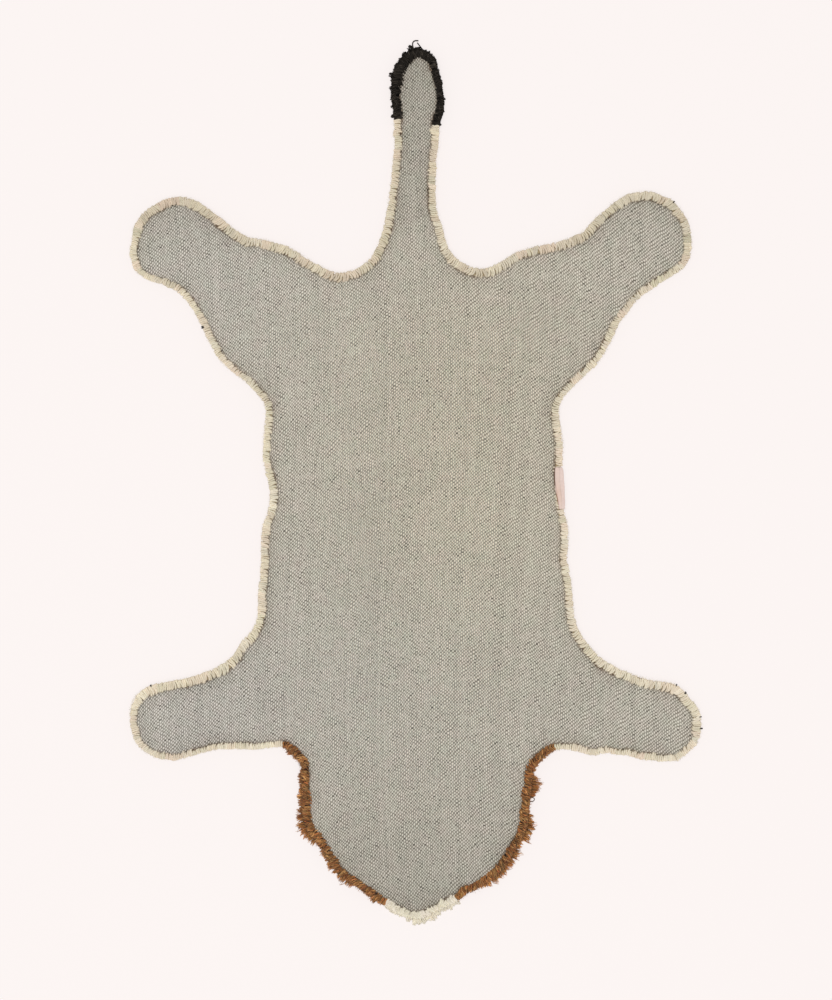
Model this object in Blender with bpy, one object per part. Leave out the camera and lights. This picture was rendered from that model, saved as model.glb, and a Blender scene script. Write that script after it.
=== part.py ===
"""Animal-shaped child's rug, lying pile side down with its woven canvas back up.

The rug's edge is set out as sections across the tail, body and head and sections along each leg,
and one smooth closed curve runs through them. Every piece is worked out from that edge: the
canvas back, the pile under it, the overcast bindings round it and the label on one flank.
The tail points to +Y and the head to -Y. Lengths are in millimetres until a mesh is finished.
"""
import bisect
import math
import random
from collections import namedtuple

import bmesh
import bpy
from mathutils import Vector
from mathutils.geometry import interpolate_bezier

# ---- Driving dimensions, in millimetres ----
MM = 0.001                  # one millimetre in metres
GAP = 0.3                   # between pieces that touch on the real rug
PILE_HEIGHT = 8.0           # pressed under the rug's own weight
CLOTH_THICKNESS = 3.0       # tufted cloth, glue and canvas together
BEAD_HEIGHT = 4.2           # overcast binding, standing a little proud of the canvas
PILE_INSET = 1.0            # the pile stops this far inside the binding's outer side
CURVE_STEPS = 12            # pieces of the smooth edge from one landmark to the next
STATION_PITCH = 8.6         # between sections of the binding and corners of the flat pieces
WIDTH_BLEND = 6.0           # half the length over which one binding's width runs into the next
NORMAL_REACH = 2.0          # the edge's direction is taken over this far each way
SHARP_ANGLE = math.radians(35.0)

# ---- Shag ----
LOCK_WIDTH = 3.6            # a lock's root on the rim
LOCK_SPACE = 2.2            # bare rim from one lock to the next
LOCK_TIP_SHARE = 0.38       # a tip's width against its root's
LOCK_TIP_HEIGHT = 2.2
LOCK_SWAY = 1.1             # a tip leans this far along the rim at most
REACH_JITTER = 0.35         # share by which one lock's reach differs from the tables below
LUMP_HEIGHT = 1.2           # of the hollows between clumps on the underside
LUMP_TURN_ALONG = 2.2       # radians of the clumps' wave from one section to the next
LUMP_TURN_ACROSS = 1.7      # the same from one clump to the next across the shag
SHAG_COLUMNS = 4            # clumps from the rim to the shag's inner edge
SHAG_LINE_PITCH = 8.0       # between corners of that inner edge
SHAG_NORMAL_REACH = 45.0    # keeps that inner edge free of the rim's small bends
SHAG_END_DEPTH = 16.0       # from the rim to the shag's inner edge, at the ends and the chin
MANE_DEPTH = 42.0           # the same at the middle of a cheek
TAIL_CAP_HALF = 4.0         # half the blunt end of the black slab at the tail's top
SEED = 11

# ---- Label ----
LABEL_THICKNESS = 0.8
LABEL_RUNGS = 9
LABEL_TAPER = 0.38          # its inner part narrows by this share towards the head
LABEL_CROWN = 3.6           # depth in from the rug's edge at which the label folds over

# ---- Edge of the rug ----
# A section across the tail, body or head: place along the rug, left edge and right edge.
Across = namedtuple("Across", "y left right")
# A section of a leg: place across the rug, edge towards the tail and edge towards the head.
# None stands for an edge that isn't there because the leg has run into the body.
Along = namedtuple("Along", "x upper lower")

TAIL_TOP = (2.5, 455.0)
TAIL = (
    Across(448.5, -14.0, 19.0),
    Across(436.0, -23.0, 24.0),
    Across(415.0, -26.0, 28.5),
    Across(394.0, -25.5, 29.5),
    Across(377.0, -23.5, 26.0),
    Across(355.0, -23.0, 24.0),
    Across(328.5, -24.5, 21.5),
    Across(297.0, -28.5, 21.5),
    Across(271.0, -33.0, 26.0),
    Across(250.0, -39.5, 33.5),
    Across(235.0, -49.5, 44.5),
)
HIND_LEG_LEFT = (
    Along(-78.0, 221.0, None),
    Along(-100.5, 228.5, None),
    Along(-124.5, 242.0, None),
    Along(-150.5, 253.5, None),
    Along(-171.5, 257.0, 99.5),
    Along(-192.5, 266.5, 117.0),
    Along(-211.5, 282.5, 138.0),
    Along(-226.5, 294.5, 168.5),
    Along(-243.0, 300.5, 194.0),
    Along(-263.0, 298.0, 207.5),
    Along(-283.0, 285.0, 215.0),
    Along(-295.5, 270.5, 224.5),
)
HIND_PAW_LEFT = (-300.5, 244.5)
HIND_LEG_RIGHT = (
    Along(66.5, 224.5, None),
    Along(88.5, 231.5, None),
    Along(112.0, 244.5, None),
    Along(136.0, 249.5, None),
    Along(159.0, 256.5, 94.0),
    Along(179.0, 266.5, 114.0),
    Along(196.0, 283.0, 131.5),
    Along(211.5, 297.5, 164.0),
    Along(230.5, 305.0, 189.5),
    Along(251.5, 304.0, 206.5),
    Along(269.5, 295.5, 215.5),
    Along(284.0, 279.0, 228.5),
)
HIND_PAW_RIGHT = (290.5, 252.0)
FLANKS = (
    Across(79.0, -158.0, 151.0),
    Across(58.0, -159.0, 153.5),
    Across(34.5, -160.0, 155.0),
    Across(13.5, -157.0, 153.5),
    Across(-7.5, -153.0, 154.5),
    Across(-27.5, -153.5, 156.0),
    Across(-46.0, -160.5, 160.5),
    Across(-65.0, -162.0, 160.5),
    Across(-81.0, -162.0, 159.5),
    Across(-102.0, -164.5, 163.5),
    Across(-126.0, -166.0, 165.5),
    Across(-145.0, -167.5, 168.0),
    Across(-158.5, -174.5, 173.5),
)
FORELEG_LEFT = (
    Along(-140.0, None, -277.5),
    Along(-165.5, None, -279.5),
    Along(-188.5, -178.5, -279.5),
    Along(-210.5, -194.0, -280.5),
    Along(-234.5, -203.5, -286.5),
    Along(-254.0, -207.5, -291.5),
    Along(-273.5, -211.5, -288.5),
    Along(-289.0, -220.0, -277.0),
    Along(-297.5, -230.0, -260.5),
)
FORE_PAW_LEFT = (-300.5, -244.5)
FORELEG_RIGHT = (
    Along(147.0, None, -281.0),
    Along(165.5, None, -280.5),
    Along(187.5, -176.0, -286.0),
    Along(207.5, -191.5, -283.5),
    Along(231.5, -201.5, -288.0),
    Along(254.5, -207.5, -292.0),
    Along(274.5, -212.0, -292.0),
    Along(288.0, -226.5, -281.5),
    Along(297.0, -238.0, -271.0),
)
FORE_PAW_RIGHT = (300.5, -253.0)
HEAD = (
    Across(-283.5, -131.0, 142.0),
    Across(-296.0, -121.5, 127.5),
    Across(-312.0, -120.5, 123.0),
    Across(-329.5, -120.0, 121.5),
    Across(-347.5, -119.0, 119.0),
    Across(-364.5, -114.5, 116.5),
    Across(-381.0, -102.0, 108.0),
    Across(-398.0, -91.5, 98.0),
    Across(-412.5, -80.0, 86.0),
    Across(-425.0, -62.0, 68.0),
    Across(-438.0, -43.0, 46.0),
    Across(-449.5, -23.5, 25.0),
)
CHIN_POINT = (0.5, -458.5)

# ---- Stretches of the edge, each worked in yarn of one colour ----
# A stretch runs counter-clockwise, seen from above, from its start to the next one's start.
Stretch = namedtuple("Stretch", "key start_x start_y binding_width yarn")
STRETCHES = (
    Stretch("tail_tip", 26.0, 376.0, 9.0, "black_yarn"),
    Stretch("cream_left", -23.5, 381.0, 7.3, "cream_yarn"),
    Stretch("mane_left", -140.0, -277.5, 9.0, "brown_yarn"),
    Stretch("chin", -32.5, -441.5, 8.5, "off_white_yarn"),
    Stretch("mane_right", 44.0, -439.0, 9.0, "brown_yarn"),
    Stretch("cream_right", 147.0, -281.0, 7.3, "cream_yarn"),
)
LABEL_FROM = (156.0, -28.5)
LABEL_TO = (153.5, 18.0)

# A binding's rounded section: share of its width from the inner edge, share of its height.
Corner = namedtuple("Corner", "across up")
BEAD_SECTION = (
    Corner(0.00, 0.12),
    Corner(0.06, 0.70),
    Corner(0.30, 1.00),
    Corner(0.70, 0.97),
    Corner(0.96, 0.62),
    Corner(1.00, 0.30),
    Corner(0.85, 0.00),
    Corner(0.06, 0.00),
)
# The label's underside as it folds over the binding: depth in from the rug's edge, and height
# over the canvas.
Fold = namedtuple("Fold", "depth height")
LABEL_SECTION = (
    Fold(8.6, 0.40),
    Fold(6.9, 1.05),
    Fold(5.2, 1.55),
    Fold(LABEL_CROWN, 1.60),
    Fold(2.2, 1.50),
    Fold(0.6, 0.90),
    Fold(-0.8, -0.30),
    Fold(-1.5, -1.60),
)

# How far the shag's locks stand out past the binding: share of the way along, reach.
Tuft = namedtuple("Tuft", "along reach")
TUFTS = {
    "tail_tip": (
        Tuft(0.00, 1.0),
        Tuft(0.28, 2.6),
        Tuft(0.44, 1.6),
        Tuft(0.50, 9.0),
        Tuft(0.56, 1.8),
        Tuft(0.80, 3.0),
        Tuft(1.00, 1.2),
    ),
    "mane_left": (
        Tuft(0.00, 1.0),
        Tuft(0.04, 4.2),
        Tuft(0.10, 1.5),
        Tuft(0.18, 4.2),
        Tuft(0.28, 4.8),
        Tuft(0.40, 7.4),
        Tuft(0.47, 8.2),
        Tuft(0.56, 1.8),
        Tuft(0.72, 2.6),
        Tuft(0.78, 5.0),
        Tuft(0.85, 1.4),
        Tuft(0.94, 3.2),
        Tuft(1.00, 1.6),
    ),
    "chin": (
        Tuft(0.00, 1.6),
        Tuft(0.18, 3.4),
        Tuft(0.34, 4.0),
        Tuft(0.44, 8.4),
        Tuft(0.56, 6.4),
        Tuft(0.75, 4.6),
        Tuft(1.00, 2.4),
    ),
    "mane_right": (
        Tuft(0.00, 1.2),
        Tuft(0.17, 2.6),
        Tuft(0.30, 5.4),
        Tuft(0.36, 6.2),
        Tuft(0.43, 3.0),
        Tuft(0.52, 9.4),
        Tuft(0.58, 7.6),
        Tuft(0.65, 1.4),
        Tuft(0.74, 9.2),
        Tuft(0.79, 7.4),
        Tuft(0.86, 1.2),
        Tuft(0.95, 3.0),
        Tuft(1.00, 1.0),
    ),
}

# ---- Materials: colour and roughness ----
Finish = namedtuple("Finish", "red green blue roughness")
FINISHES = {
    "canvas": Finish(0.43, 0.40, 0.33, 0.95),
    "cream_yarn": Finish(0.68, 0.60, 0.42, 0.90),
    "brown_yarn": Finish(0.22, 0.085, 0.03, 0.90),
    "black_yarn": Finish(0.015, 0.013, 0.013, 0.90),
    "off_white_yarn": Finish(0.74, 0.70, 0.57, 0.92),
    "pink_tape": Finish(0.72, 0.50, 0.42, 0.80),
}

# ---- Heights worked out from the above ----
CLOTH_BOTTOM = PILE_HEIGHT + GAP
CLOTH_TOP = CLOTH_BOTTOM + CLOTH_THICKNESS


def around_leg(leg, paw):
    """A leg's landmarks: out along its edge towards the tail, round the paw and back."""
    upper = [(row.x, row.upper) for row in leg if row.upper is not None]
    lower = [(row.x, row.lower) for row in leg if row.lower is not None]
    return upper + [paw] + lower[::-1]


def landmarks():
    """The rug's edge counter-clockwise from the tail's top."""
    left = [(row.left, row.y) for row in TAIL]
    left += around_leg(HIND_LEG_LEFT, HIND_PAW_LEFT)
    left += [(row.left, row.y) for row in FLANKS]
    left += around_leg(FORELEG_LEFT, FORE_PAW_LEFT)
    left += [(row.left, row.y) for row in HEAD]
    right = [(row.right, row.y) for row in TAIL]
    right += around_leg(HIND_LEG_RIGHT, HIND_PAW_RIGHT)
    right += [(row.right, row.y) for row in FLANKS]
    right += around_leg(FORELEG_RIGHT, FORE_PAW_RIGHT)
    right += [(row.right, row.y) for row in HEAD]
    return [Vector(point) for point in [TAIL_TOP] + left + [CHIN_POINT] + right[::-1]]


def smooth_loop(corners):
    """Points on the closed curve through the corners, with handles set by their neighbours."""
    count = len(corners)
    loop = []
    for index, here in enumerate(corners):
        before = corners[index - 1]
        after = corners[(index + 1) % count]
        beyond = corners[(index + 2) % count]
        handle = (after - here).length / 3.0
        leaving = here + handle * (after - before).normalized()
        arriving = after - handle * (beyond - here).normalized()
        loop += interpolate_bezier(here, leaving, arriving, after, CURVE_STEPS + 1)[:-1]
    return loop


class Edge:
    """The rug's edge. A place on it is the length along it from the tail's top."""

    def __init__(self, corners):
        self.points = smooth_loop(corners)
        self.marks = [0.0]
        for here, after in zip(self.points, self.points[1:] + self.points[:1]):
            self.marks.append(self.marks[-1] + (after - here).length)
        self.length = self.marks[-1]

    def at(self, place):
        """The point at a place."""
        place %= self.length
        index = bisect.bisect_right(self.marks, place) - 1
        share = (place - self.marks[index]) / (self.marks[index + 1] - self.marks[index])
        return self.points[index].lerp(self.points[(index + 1) % len(self.points)], share)

    def inset(self, place, depth, reach=NORMAL_REACH):
        """The point at a depth in from the edge, square to its run over the reach each way."""
        along = self.at(place + reach) - self.at(place - reach)
        return self.at(place) + depth * Vector((-along.y, along.x)).normalized()

    def nearest(self, x, y):
        """The place of the edge's point nearest to (x, y)."""
        target = Vector((x, y))
        index = min(range(len(self.points)), key=lambda i: (self.points[i] - target).length)
        return self.marks[index]


EDGE = Edge(landmarks())


def stretch_spans():
    """Each stretch's start and end place. The one over the tail's top starts below zero."""
    starts = [EDGE.nearest(row.start_x, row.start_y) for row in STRETCHES]
    spans = {}
    for row, start, end in zip(STRETCHES, starts, starts[1:] + starts[:1]):
        spans[row.key] = (start if start < end else start - EDGE.length, end)
    return spans


SPANS = stretch_spans()


def evenly(start, end, pitch=STATION_PITCH):
    """Places from start to end, about a pitch apart."""
    steps = max(1, round((end - start) / pitch))
    return [start + (end - start) * step / steps for step in range(steps + 1)]


def binding_width(place):
    """The binding's width at a place, easing from one stretch's into the next one's."""
    for before, row in zip(STRETCHES[-1:] + STRETCHES[:-1], STRETCHES):
        start, end = SPANS[row.key]
        past = (place - start + WIDTH_BLEND) % EDGE.length
        if past < end - start:
            share = min(1.0, 0.5 * past / WIDTH_BLEND)
            return before.binding_width + share * (row.binding_width - before.binding_width)
    return STRETCHES[0].binding_width


def table_value(rows, share):
    """A value read between the rows of a (position, value) table."""
    for here, after in zip(rows, rows[1:]):
        if share <= after[0]:
            part = (share - here[0]) / (after[0] - here[0])
            return here[1] + part * (after[1] - here[1])
    return rows[-1][1]


def shag_depth(place):
    """From the rim to the inner edge of the mane or the chin's shag."""
    for key in ("mane_left", "mane_right"):
        start, end = SPANS[key]
        if start < place < end:
            swell = math.sin(math.pi * (place - start) / (end - start))
            return SHAG_END_DEPTH + (MANE_DEPTH - SHAG_END_DEPTH) * swell
    return SHAG_END_DEPTH


def shag_inner(place, gap=0.0):
    """The point on the shag's inner edge behind a place on the rim, or a gap further in."""
    return EDGE.inset(place, shag_depth(place) + gap, SHAG_NORMAL_REACH)


def shag_line(key, gap=0.0):
    """Corners of the inner edge of the shag on one stretch of the head, or a gap further in."""
    return [shag_inner(place, gap) for place in evenly(*SPANS[key], pitch=SHAG_LINE_PITCH)]


def point_along(line, share):
    """The point at a share of a line's pieces."""
    index = min(int(share * (len(line) - 1)), len(line) - 2)
    return line[index].lerp(line[index + 1], share * (len(line) - 1) - index)


# ---- Building ----

def make_material(name):
    """A Principled material from the table of finishes."""
    finish = FINISHES[name]
    material = bpy.data.materials.new(name)
    material.use_nodes = True
    shader = material.node_tree.nodes["Principled BSDF"]
    shader.inputs["Base Color"].default_value = (finish.red, finish.green, finish.blue, 1.0)
    shader.inputs["Roughness"].default_value = finish.roughness
    shader.inputs["Metallic"].default_value = 0.0
    return material


def place_part(name, data, material, height=0.0):
    """Put a named object with its material in the rug's collection."""
    part = bpy.data.objects.new(name, data)
    part.location.z = height * MM
    data.materials.append(material)
    bpy.data.collections["animal_rug"].objects.link(part)
    return part


def finish_mesh(name, shape, material):
    """Turn a bmesh in millimetres into a closed, smooth-shaded object in metres."""
    bmesh.ops.recalc_face_normals(shape, faces=shape.faces)
    bmesh.ops.scale(shape, vec=Vector((MM, MM, MM)), verts=shape.verts)
    mesh = bpy.data.meshes.new(name)
    shape.to_mesh(mesh)
    shape.free()
    mesh.shade_smooth()
    mesh.set_sharp_from_angle(angle=SHARP_ANGLE)
    return place_part(name, mesh, material)


def flat_slab(name, outline, bottom, thickness, material):
    """A flat sheet or slab with the given outline: a filled 2D curve with a thickness."""
    curve = bpy.data.curves.new(name, "CURVE")
    curve.dimensions = "2D"
    curve.fill_mode = "BOTH"
    curve.extrude = 0.5 * thickness * MM
    spline = curve.splines.new("POLY")
    spline.points.add(len(outline) - 1)
    for spline_point, corner in zip(spline.points, outline):
        spline_point.co = (corner.x * MM, corner.y * MM, 0.0, 1.0)
    spline.use_cyclic_u = True
    return place_part(name, curve, material, height=bottom + 0.5 * thickness)


def loft(name, rings, material):
    """A closed solid through rings of equally many points, each ring a closed section."""
    shape = bmesh.new()
    loops = [[shape.verts.new(point) for point in ring] for ring in rings]
    for here, after in zip(loops, loops[1:]):
        for index in range(len(here)):
            following = (index + 1) % len(here)
            shape.faces.new((here[index], here[following], after[following], after[index]))
    shape.faces.new(loops[0][::-1])
    shape.faces.new(loops[-1])
    return finish_mesh(name, shape, material)


def laid_grid(rungs, under, top):
    """A grid primitive laid out on rungs of (x, y) points, then raised into a slab.

    under(rung, column) gives the height of its underside and top(rung, column) that of its top.
    """
    rows, columns = len(rungs) - 1, len(rungs[0]) - 1
    shape = bmesh.new()
    rung_of = shape.verts.layers.int.new("rung")
    column_of = shape.verts.layers.int.new("column")
    bmesh.ops.create_grid(shape, x_segments=columns, y_segments=rows, size=0.5)
    for vert in shape.verts:
        vert[column_of] = round((vert.co.x + 0.5) * columns)
        vert[rung_of] = round((vert.co.y + 0.5) * rows)
    raised = bmesh.ops.extrude_face_region(shape, geom=shape.faces[:], use_keep_orig=True)
    lifted = {item for item in raised["geom"] if isinstance(item, bmesh.types.BMVert)}
    for vert in shape.verts:
        rung, column = vert[rung_of], vert[column_of]
        height = top(rung, column) if vert in lifted else under(rung, column)
        vert.co = (*rungs[rung][column], height)
    bmesh.ops.recalc_face_normals(shape, faces=shape.faces)
    return shape, rung_of, column_of


def rungs_between(left_rail, right_rail, columns):
    """Rungs of evenly spaced points from each point of one rail to its partner on the other."""
    shares = [column / columns for column in range(columns + 1)]
    return [[a.lerp(b, share) for share in shares] for a, b in zip(left_rail, right_rail)]


def lock_places(start, end, locks):
    """Places along a rim with a lock's root after every odd one, bare rim after the others."""
    unit = (end - start) / (locks * (LOCK_WIDTH + LOCK_SPACE) + LOCK_SPACE)
    places = [start]
    for _ in range(locks):
        places.append(places[-1] + LOCK_SPACE * unit)
        places.append(places[-1] + LOCK_WIDTH * unit)
    return places + [end]


def draw_lock(shape, root, reach, sway):
    """Draw one lock out of a face of the rim, level on the floor and narrower to its tip."""
    outward = root.normal.copy()
    sideways = outward.cross(Vector((0.0, 0.0, 1.0)))
    middle = root.calc_center_median()
    tip = bmesh.ops.extrude_discrete_faces(shape, faces=[root])["faces"][0]
    for vert in tip.verts:
        across = (vert.co - middle).dot(sideways)
        height = LOCK_TIP_HEIGHT if vert.co.z > middle.z else 0.0
        moved = middle + (LOCK_TIP_SHARE * across + sway) * sideways + reach * outward
        vert.co = (moved.x, moved.y, height)


def shag_slab(key, rungs, share_at, material, rims):
    """A lumpy slab of shag with locks at its rim.

    share_at(rung, column) is how far along its stretch a rim point lies, for the table of tufts.
    rims are the columns that lie on the rug's edge.
    """
    chance = random.Random(SEED + len(key))
    last_rung, last_column = len(rungs) - 1, len(rungs[0]) - 1

    def under(rung, column):
        if rung in (0, last_rung) or column in (0, last_column):
            return 0.0
        wave = math.sin(LUMP_TURN_ALONG * rung + LUMP_TURN_ACROSS * column)
        return LUMP_HEIGHT * (0.5 + 0.5 * wave)

    shape, rung_of, column_of = laid_grid(rungs, under, lambda rung, column: PILE_HEIGHT)
    roots = []
    for face in shape.faces:
        placed = {(vert[rung_of], vert[column_of]) for vert in face.verts}
        first = min(rung for rung, _ in placed)
        columns = {column for _, column in placed}
        is_side = len(placed) == 2 and len(columns) == 1 and columns <= set(rims)
        is_tip = len(placed) == 2 and len(columns) == 2 and first == 0 and len(rims) == 2
        if (is_side and first % 2 == 1) or (is_tip and min(columns) % 2 == 1):
            roots.append((face, first, min(columns)))
    roots.sort(key=lambda root: root[1:])
    for face, rung, column in roots:
        reach = table_value(TUFTS[key], share_at(rung, column))
        reach *= 1.0 + chance.uniform(-REACH_JITTER, REACH_JITTER)
        sway = chance.uniform(-LOCK_SWAY, LOCK_SWAY)
        draw_lock(shape, face, PILE_INSET + reach, sway)
    return finish_mesh("pile_" + key, shape, material)


def make_cheek_or_chin(key, material):
    """The shag along one stretch of the head."""
    start, end = SPANS[key]
    locks = round((end - start - LOCK_SPACE) / (LOCK_WIDTH + LOCK_SPACE))
    places = lock_places(start + 0.5 * GAP, end - 0.5 * GAP, locks)
    shares = [(place - start) / (end - start) for place in places]
    rim = [EDGE.inset(place, PILE_INSET) for place in places]
    line = shag_line(key)
    inner = [point_along(line, share) for share in shares]

    def share_at(rung, column):
        return shares[rung]

    shag_slab(key, rungs_between(rim, inner, SHAG_COLUMNS), share_at, material, rims=(0,))


def make_tail_tip(key, material):
    """The black shag over the tail's end, from one side's edge to the other's."""
    start, end = SPANS[key]
    locks = round((end - TAIL_CAP_HALF - LOCK_SPACE) / (LOCK_WIDTH + LOCK_SPACE))
    left = lock_places(TAIL_CAP_HALF, end, locks)
    right = lock_places(-TAIL_CAP_HALF, start, locks)
    rungs = rungs_between(
        [EDGE.inset(place, PILE_INSET) for place in left],
        [EDGE.inset(place, PILE_INSET) for place in right],
        SHAG_COLUMNS,
    )

    def share_at(rung, column):
        place = left[rung] if column == 0 else right[rung]
        if rung == 0 and 0 < column < SHAG_COLUMNS:
            place = 0.0
        return (place - start) / (end - start)

    shag_slab(key, rungs, share_at, material, rims=(0, SHAG_COLUMNS))


def make_binding(row, material):
    """The overcast binding on one stretch of the edge."""
    start, end = SPANS[row.key]
    rings = []
    for place in evenly(start + 0.5 * GAP, end - 0.5 * GAP):
        width = binding_width(place)
        ring = []
        for corner in BEAD_SECTION:
            point = EDGE.inset(place, width * (1.0 - corner.across))
            ring.append((point.x, point.y, CLOTH_BOTTOM + BEAD_HEIGHT * corner.up))
        rings.append(ring)
    loft("binding_" + row.key, rings, material)


def make_backing_cloth(material):
    """The canvas back, cut to the inner edge of the binding."""
    outline = []
    for row in STRETCHES:
        for place in evenly(*SPANS[row.key])[:-1]:
            outline.append(EDGE.inset(place, binding_width(place) + GAP))
    flat_slab("backing_cloth", outline, CLOTH_BOTTOM, CLOTH_THICKNESS, material)


def make_pile_body(material):
    """The cream pile under body, legs and tail, cut back round the shag of head and tail tip."""
    left_start, mane_start = SPANS["cream_left"]
    mane_end, right_end = SPANS["cream_right"]
    outline = [EDGE.inset(p, PILE_INSET) for p in evenly(left_start + GAP, mane_start - GAP)]
    outline.append(shag_inner(mane_start - GAP, GAP))
    for key in ("mane_left", "chin", "mane_right"):
        outline += shag_line(key, GAP)[:-1]
    outline += [shag_inner(place, GAP) for place in (mane_end, mane_end + GAP)]
    outline += [EDGE.inset(p, PILE_INSET) for p in evenly(mane_end + GAP, right_end - GAP)]
    flat_slab("pile_body", outline, 0.0, PILE_HEIGHT, material)


def make_label(material):
    """The bare woven label, folded over the binding of one flank."""
    places = evenly(EDGE.nearest(*LABEL_FROM), EDGE.nearest(*LABEL_TO), pitch=1.0)
    step = (len(places) - 1) // (LABEL_RUNGS - 1)
    places = places[::step][:LABEL_RUNGS]
    rungs = []
    for number, place in enumerate(places):
        narrowing = LABEL_TAPER * (1.0 - number / (LABEL_RUNGS - 1))
        rung = []
        for fold in LABEL_SECTION:
            past_crown = max(0.0, fold.depth - LABEL_CROWN)
            rung.append(EDGE.inset(place, fold.depth - narrowing * past_crown))
        rungs.append(rung)

    def under(rung, column):
        return CLOTH_TOP + LABEL_SECTION[column].height

    def top(rung, column):
        return under(rung, column) + LABEL_THICKNESS

    shape, _, _ = laid_grid(rungs, under, top)
    finish_mesh("side_label", shape, material)


def build_rug():
    """Every piece of the rug, each in its own object."""
    for leftover in list(bpy.data.objects):
        bpy.data.objects.remove(leftover)
    collection = bpy.data.collections.new("animal_rug")
    bpy.context.scene.collection.children.link(collection)
    materials = {name: make_material(name) for name in FINISHES}
    make_backing_cloth(materials["canvas"])
    make_pile_body(materials["cream_yarn"])
    make_cheek_or_chin("mane_left", materials["brown_yarn"])
    make_cheek_or_chin("mane_right", materials["brown_yarn"])
    make_cheek_or_chin("chin", materials["off_white_yarn"])
    make_tail_tip("tail_tip", materials["black_yarn"])
    for row in STRETCHES:
        make_binding(row, materials[row.yarn])
    make_label(materials["pink_tape"])


build_rug()
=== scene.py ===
"""Looks of the animal-shaped child's rug: woven canvas, yarn bindings, pile, shag and label.

Every piece follows the rug's edge, set out as for the solids: sections across the tail, body,
legs and head, and one smooth closed curve through them. Lengths are in millimetres until a mesh
is finished.
"""
import math
from collections import namedtuple

import bpy
import numpy as np
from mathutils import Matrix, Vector
from mathutils.geometry import delaunay_2d_cdt, interpolate_bezier
from mathutils.kdtree import KDTree


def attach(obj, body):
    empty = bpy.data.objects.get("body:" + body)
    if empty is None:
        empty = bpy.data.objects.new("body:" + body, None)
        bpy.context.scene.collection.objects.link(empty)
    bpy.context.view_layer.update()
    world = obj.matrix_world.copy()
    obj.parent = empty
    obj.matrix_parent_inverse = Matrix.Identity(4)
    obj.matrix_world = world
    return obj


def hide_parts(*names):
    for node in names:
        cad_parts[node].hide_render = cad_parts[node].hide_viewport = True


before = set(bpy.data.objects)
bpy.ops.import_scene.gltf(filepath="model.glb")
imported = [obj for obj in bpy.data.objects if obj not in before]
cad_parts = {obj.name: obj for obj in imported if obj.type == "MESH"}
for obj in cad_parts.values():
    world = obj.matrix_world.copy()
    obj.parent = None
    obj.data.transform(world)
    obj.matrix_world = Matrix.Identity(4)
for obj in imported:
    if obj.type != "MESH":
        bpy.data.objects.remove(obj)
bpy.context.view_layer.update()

# ---- Sizes shared with the solids ----
MM = 0.001                  # one millimetre in metres
GAP = 0.3                   # between pieces that touch on the real rug
PILE_HEIGHT = 8.0
CLOTH_THICKNESS = 3.0
CLOTH_BOTTOM = PILE_HEIGHT + GAP
CLOTH_TOP = CLOTH_BOTTOM + CLOTH_THICKNESS
CURVE_STEPS = 12            # pieces of the smooth edge from one landmark to the next
WIDTH_BLEND = 6.0           # half the length over which one width runs into the next
NORMAL_REACH = 2.0          # the edge's direction is taken over this far each way
SHAG_NORMAL_REACH = 45.0    # the same for the shag's inner edge
SHAG_LINE_PITCH = 8.0       # between corners of that inner edge
SHAG_END_DEPTH = 16.0       # from the rim to that inner edge, at its ends and the chin
MANE_DEPTH = 42.0           # the same at the middle of a cheek

# ---- Edge of the rug, as in the solids ----
# Sections across the tail, flanks and head: place along the rug, left edge and right edge.
# Sections of a leg: place across the rug, edge towards the tail and edge towards the head.
TAIL_TOP = (2.5, 455)
TAIL = (
    (448.5, -14, 19), (436, -23, 24), (415, -26, 28.5), (394, -25.5, 29.5), (377, -23.5, 26),
    (355, -23, 24), (328.5, -24.5, 21.5), (297, -28.5, 21.5), (271, -33, 26), (250, -39.5, 33.5),
    (235, -49.5, 44.5),
)
HIND_LEG_LEFT = (
    (-78, 221, None), (-100.5, 228.5, None), (-124.5, 242, None), (-150.5, 253.5, None),
    (-171.5, 257, 99.5), (-192.5, 266.5, 117), (-211.5, 282.5, 138), (-226.5, 294.5, 168.5),
    (-243, 300.5, 194), (-263, 298, 207.5), (-283, 285, 215), (-295.5, 270.5, 224.5),
)
HIND_PAW_LEFT = (-300.5, 244.5)
HIND_LEG_RIGHT = (
    (66.5, 224.5, None), (88.5, 231.5, None), (112, 244.5, None), (136, 249.5, None),
    (159, 256.5, 94), (179, 266.5, 114), (196, 283, 131.5), (211.5, 297.5, 164),
    (230.5, 305, 189.5), (251.5, 304, 206.5), (269.5, 295.5, 215.5), (284, 279, 228.5),
)
HIND_PAW_RIGHT = (290.5, 252)
FLANKS = (
    (79, -158, 151), (58, -159, 153.5), (34.5, -160, 155), (13.5, -157, 153.5),
    (-7.5, -153, 154.5), (-27.5, -153.5, 156), (-46, -160.5, 160.5), (-65, -162, 160.5),
    (-81, -162, 159.5), (-102, -164.5, 163.5), (-126, -166, 165.5), (-145, -167.5, 168),
    (-158.5, -174.5, 173.5),
)
FORELEG_LEFT = (
    (-140, None, -277.5), (-165.5, None, -279.5), (-188.5, -178.5, -279.5),
    (-210.5, -194, -280.5), (-234.5, -203.5, -286.5), (-254, -207.5, -291.5),
    (-273.5, -211.5, -288.5), (-289, -220, -277), (-297.5, -230, -260.5),
)
FORE_PAW_LEFT = (-300.5, -244.5)
FORELEG_RIGHT = (
    (147, None, -281), (165.5, None, -280.5), (187.5, -176, -286), (207.5, -191.5, -283.5),
    (231.5, -201.5, -288), (254.5, -207.5, -292), (274.5, -212, -292), (288, -226.5, -281.5),
    (297, -238, -271),
)
FORE_PAW_RIGHT = (300.5, -253)
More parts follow.
